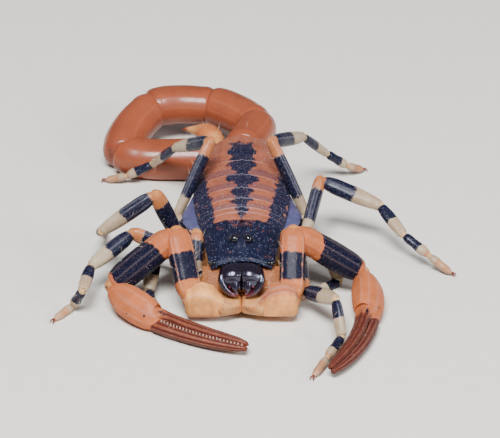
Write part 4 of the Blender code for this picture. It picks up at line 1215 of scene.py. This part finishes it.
tail_shell = shell_finish(
    "tail_shell", pale=(0.40, 0.16, 0.065), warm=(0.25, 0.058, 0.024), dark=(0.04, 0.010, 0.008),
    deep=(0.12, 0.016, 0.010), keel_tone_and_highlight=(0.42, 0.16, 0.08), grain_highlight_share=0.12, rough=0.40, grain=0.10,
    depth=0.006, blotch=0.8, ragged=1.0, coat=0.32, glow=0.06, edge=0.12)
sting_shell = shell_finish(
    "sting_shell", pale=(0.60, 0.28, 0.10), warm=(0.44, 0.13, 0.04), dark=(0.04, 0.010, 0.008),
    deep=(0.12, 0.016, 0.010), keel_tone_and_highlight=(0.70, 0.40, 0.22), grain_highlight_share=0.12, rough=0.22, grain=0.12,
    depth=0.006, blotch=0.6, coat=0.5, glow=0.12)
# How far a barrel's ends lean towards its neighbours, and its height as a share of its width
TAIL_BOW = 0.3
BARREL_HEIGHT = 0.96


def barrel_line(start, end, before, here, after, t):
    """Middle line of a barrel, bowed a little towards its neighbours' directions."""
    first, last = (unit(lerp(here, near, TAIL_BOW)) * np.linalg.norm(end - start) for near in (before, after))
    return (start * (2 * t ** 3 - 3 * t ** 2 + 1) + first * (t ** 3 - 2 * t ** 2 + t)
            + end * (3 * t ** 2 - 2 * t ** 3) + last * (t ** 3 - t ** 2))


def paint_barrel(t):
    ends = np.maximum(1 - ease(-0.02, 0.05, t), ease(0.99, 1.04, t))
    return {"warm": 0.95 - 0.2 * bell(t, 0.5, 0.35), "dark": 0.3 * ends, "deep": 0.3 * ease(0.86, 1.0, t),
            "bristle": 0.12}


def sting_bulb(root):
    """The sting's curved middle line from its root, and its shell."""
    t = np.linspace(0, 1, STING_ROWS)
    heading = lerp(*STING_HEADINGS, t)
    track = np.cumsum(direction(heading, STING_PITCH * (1 - t)), axis=0) * STING_LENGTH / (STING_ROWS - 1)
    path = root + track - track[0]
    width = smooth_rows(STING, STING_ROWS)[:, 1]
    grid, _, _ = tube_shell(path, width, width, direction(heading + 90), 56, 2.05)
    point = ease(0.80, 1.0, t)[:, None]
    return path, (grid, {
        "warm": 0.35 + 0.4 * bell(t, 0.55, 0.2)[:, None], "deep": point, "dark": 0.7 * point ** 3,
        "bristle": 0.5 * (1 - point), "lie": unit(np.gradient(path, axis=0))[:, None]})


def sting_tooth(path):
    """The small tooth below the sting's point."""
    root = path[STING_TOOTH_ROW] - (0, 0, 0.34)
    return horn([root + (0, 0, 0.2), root, root + direction(100) * 0.12 - (0, 0, 0.12)],
                (0.16, 0.12, 0.03), 16, 16, {"warm": 0.8})


headings = [direction(heading, pitch) for _, heading, pitch, _ in TAIL_BARRELS]
headings_before = headings[:1] + headings[:-1]
headings_after = headings[1:] + headings[-1:]
start = np.array(TAIL_BASE)
for number, (length, heading, _, radius) in enumerate(TAIL_BARRELS, 1):
    here = headings[number - 1]
    end = start + here * length
    smooth = smooth_rows(BARREL, 100)
    before, after = headings_before[number - 1], headings_after[number - 1]
    line = barrel_line(start, end, before, here, after, smooth[:, :1])
    size = 2 * radius * smooth[:, 1]
    grid, ridge, _ = tube_shell(line, size, BARREL_HEIGHT * size, direction(heading + 90), 96, 2.05,
                                BARREL_KEELS, band(smooth[:, 0], 0.12, 0.92, 0.08))
    barrel = (grid, {"ridge": ridge, "lie": here, **paint_barrel(smooth[:, :1])})
    add_piece(closed_mesh(f"tail_barrel_{number}", [barrel]), tail_shell, "tail", f"tail_{number}")
    bristle_beds.append(barrel)
    start = end
path, sting = sting_bulb(start)
add_piece(closed_mesh("sting", [sting, sting_tooth(path)]), sting_shell, "telson", "telson")
bristle_beds.append(sting)

# ---------------------------------------------------------------------------------------------
# Bristles: fine, stiff, pale hairs that stand out singly from the limbs, hands and sting and lean
# towards the tip of the piece that they grow from.

BRISTLE_LENGTH = 0.55
BRISTLE_GIRTH = 0.012
BRISTLES_PER_MM2 = 1.6
# Size of each bristle's own patch of the map, and room left round each shell's square of it
PATCH = 0.003
MARGIN = 0.05


def bristle_tree(tree, inputs):
    """Leaning spikes scattered over the base where its field bristle says, each with its own patch."""
    spots = tree.node("GeometryNodeDistributePointsOnFaces", {}, {
        "Mesh": inputs["Geometry"], "Seed": inputs["Seed"],
        "Density": tree.math("MULTIPLY", tree.carried("bristle"), inputs["Density"])})
    stray = tree.node("FunctionNodeRandomValue", {"data_type": "FLOAT_VECTOR"}, {
        0: (-0.35,) * 3, 1: (0.35,) * 3, "Seed": inputs["Seed"]})
    lean = tree.node("ShaderNodeVectorMath", {"operation": "MULTIPLY_ADD"}, {
        0: tree.carried("lie", "FLOAT_VECTOR"), 1: (0.9,) * 3, 2: stray.outputs[0]})
    aim = tree.node("ShaderNodeVectorMath", {"operation": "ADD"}, {
        0: spots.outputs["Normal"], 1: lean.outputs[0]})
    turn = tree.node("FunctionNodeAlignRotationToVector", {"axis": "Z"}, {"Vector": aim.outputs[0]})
    spike = tree.node("GeometryNodeMeshCone", {"fill_type": "NGON"}, {
        "Vertices": 4, "Side Segments": 3, "Radius Top": 0.0, "Radius Bottom": inputs["Girth"],
        "Depth": inputs["Length"]})
    placed = tree.node("GeometryNodeInstanceOnPoints", {}, {
        "Points": spots.outputs["Points"], "Instance": spike.outputs["Mesh"], "Rotation": turn.outputs[0],
        "Scale": tree.chance(0.45, 1.1, Seed=inputs["Seed"])})
    real = tree.node("GeometryNodeRealizeInstances", {}, {0: placed.outputs[0]})
    root = tree.node("ShaderNodeCombineXYZ", {}, {0: tree.carried("root_u"), 1: tree.carried("root_v")})
    own = tree.node("ShaderNodeVectorMath", {"operation": "MULTIPLY_ADD"}, {
        0: spike.outputs["UV Map"], 1: (PATCH,) * 3, 2: root.outputs[0]})
    mapped = tree.node("GeometryNodeStoreNamedAttribute", {"data_type": "FLOAT2", "domain": "CORNER"}, {
        "Geometry": real.outputs[0], "Name": "OFBake", "Value": own.outputs[0]})
    return tree.dressed(mapped.outputs[0], inputs["Finish"])


bristle_finish, bristle_nodes, bristle_shader = new_finish("bristle")
bristle_nodes.feed(bristle_shader, {
    "Base Color": bristle_nodes.tint(bristle_nodes.cloud(1.5), (0.38, 0.25, 0.15), (0.60, 0.50, 0.40)),
    "Roughness": 0.35})
cells = math.ceil(math.sqrt(len(bristle_beds)))
for i, (grid, carried) in enumerate(bristle_beds):
    rows, columns, _ = grid.shape
    u, v = np.arange(columns)[None, :] / columns, np.arange(rows)[:, None] / rows
    carried["root_u"] = (i % cells + MARGIN + (1 - 2 * MARGIN) * u) / cells
    carried["root_v"] = (i // cells + MARGIN + (1 - 2 * MARGIN) * v) / cells
    carried["bristle"] = carried.get("bristle", 0.0) * ease(0.75, 0.95, grid[..., 2])
bristles = grow("bristles", closed_mesh("bristle_bed", bristle_beds), bristle_tree, {
    "Density": BRISTLES_PER_MM2 / MM ** 2, "Girth": BRISTLE_GIRTH * MM, "Length": BRISTLE_LENGTH * MM,
    "Seed": 5, "Finish": bristle_finish})
add_piece(bristles, bristle_finish, "leg")

# ---------------------------------------------------------------------------------------------
# The stage: a plain pale paper floor, two soft studio lights under a dim sky, and a camera that looks
# down on the animal from in front of it.

FLOOR_HALF = 0.6
floor_mesh = bpy.data.meshes.new("floor")
floor_mesh.from_pydata([(x * FLOOR_HALF, y * FLOOR_HALF, 0) for x, y in ((-1, -1), (1, -1), (1, 1), (-1, 1))],
                       [], [(0, 1, 2, 3)])
floor_finish, floor_tree, floor_shader = new_finish("floor_paper")
floor_tree.feed(floor_shader, {
    "Base Color": floor_tree.tint(floor_tree.cloud(1.2, 4.0), (0.66, 0.63, 0.58), (0.72, 0.69, 0.64)),
    "Roughness": 0.75})
floor_mesh.materials.append(floor_finish)
put("floor", floor_mesh)

world = bpy.data.worlds.new("studio")
world.use_nodes = True
world.node_tree.nodes["Background"].inputs["Color"].default_value = (0.80, 0.86, 1.0, 1.0)
world.node_tree.nodes["Background"].inputs["Strength"].default_value = 0.20
bpy.context.scene.world = world
AIM = Vector((0.56, -3.45, 6.02)) * MM + Vector(BODY_ORIGIN)
# Name, place from the aim point in metres, size in metres, power in watts
SOFTBOXES = (
    ("key_light", (-0.02, -0.11, 0.21), (0.12, 0.07), 1.45),
    ("fill_light", (0.20, -0.12, 0.12), (0.08, 0.08), 0.40),
)
for name, place, (width, height), power in SOFTBOXES:
    light = bpy.data.lights.new(name, "AREA")
    light.shape = "RECTANGLE"
    light.size, light.size_y = width, height
    light.energy = power
    holder = put(name, light)
    holder.location = AIM + Vector(place)
    holder.rotation_euler = (-Vector(place)).to_track_quat("-Z", "Y").to_euler()

CAMERA_DISTANCE = 0.204
CAMERA_ELEVATION = math.radians(31)
CAMERA_LENS = 224
camera = put("camera", bpy.data.cameras.new("camera"))
camera.data.lens = CAMERA_LENS
camera.data.clip_start = 0.005
camera.location = AIM + CAMERA_DISTANCE * Vector((0, -math.cos(CAMERA_ELEVATION), math.sin(CAMERA_ELEVATION)))
camera.rotation_euler = (math.pi / 2 - CAMERA_ELEVATION, 0, 0)
bpy.context.scene.camera = camera
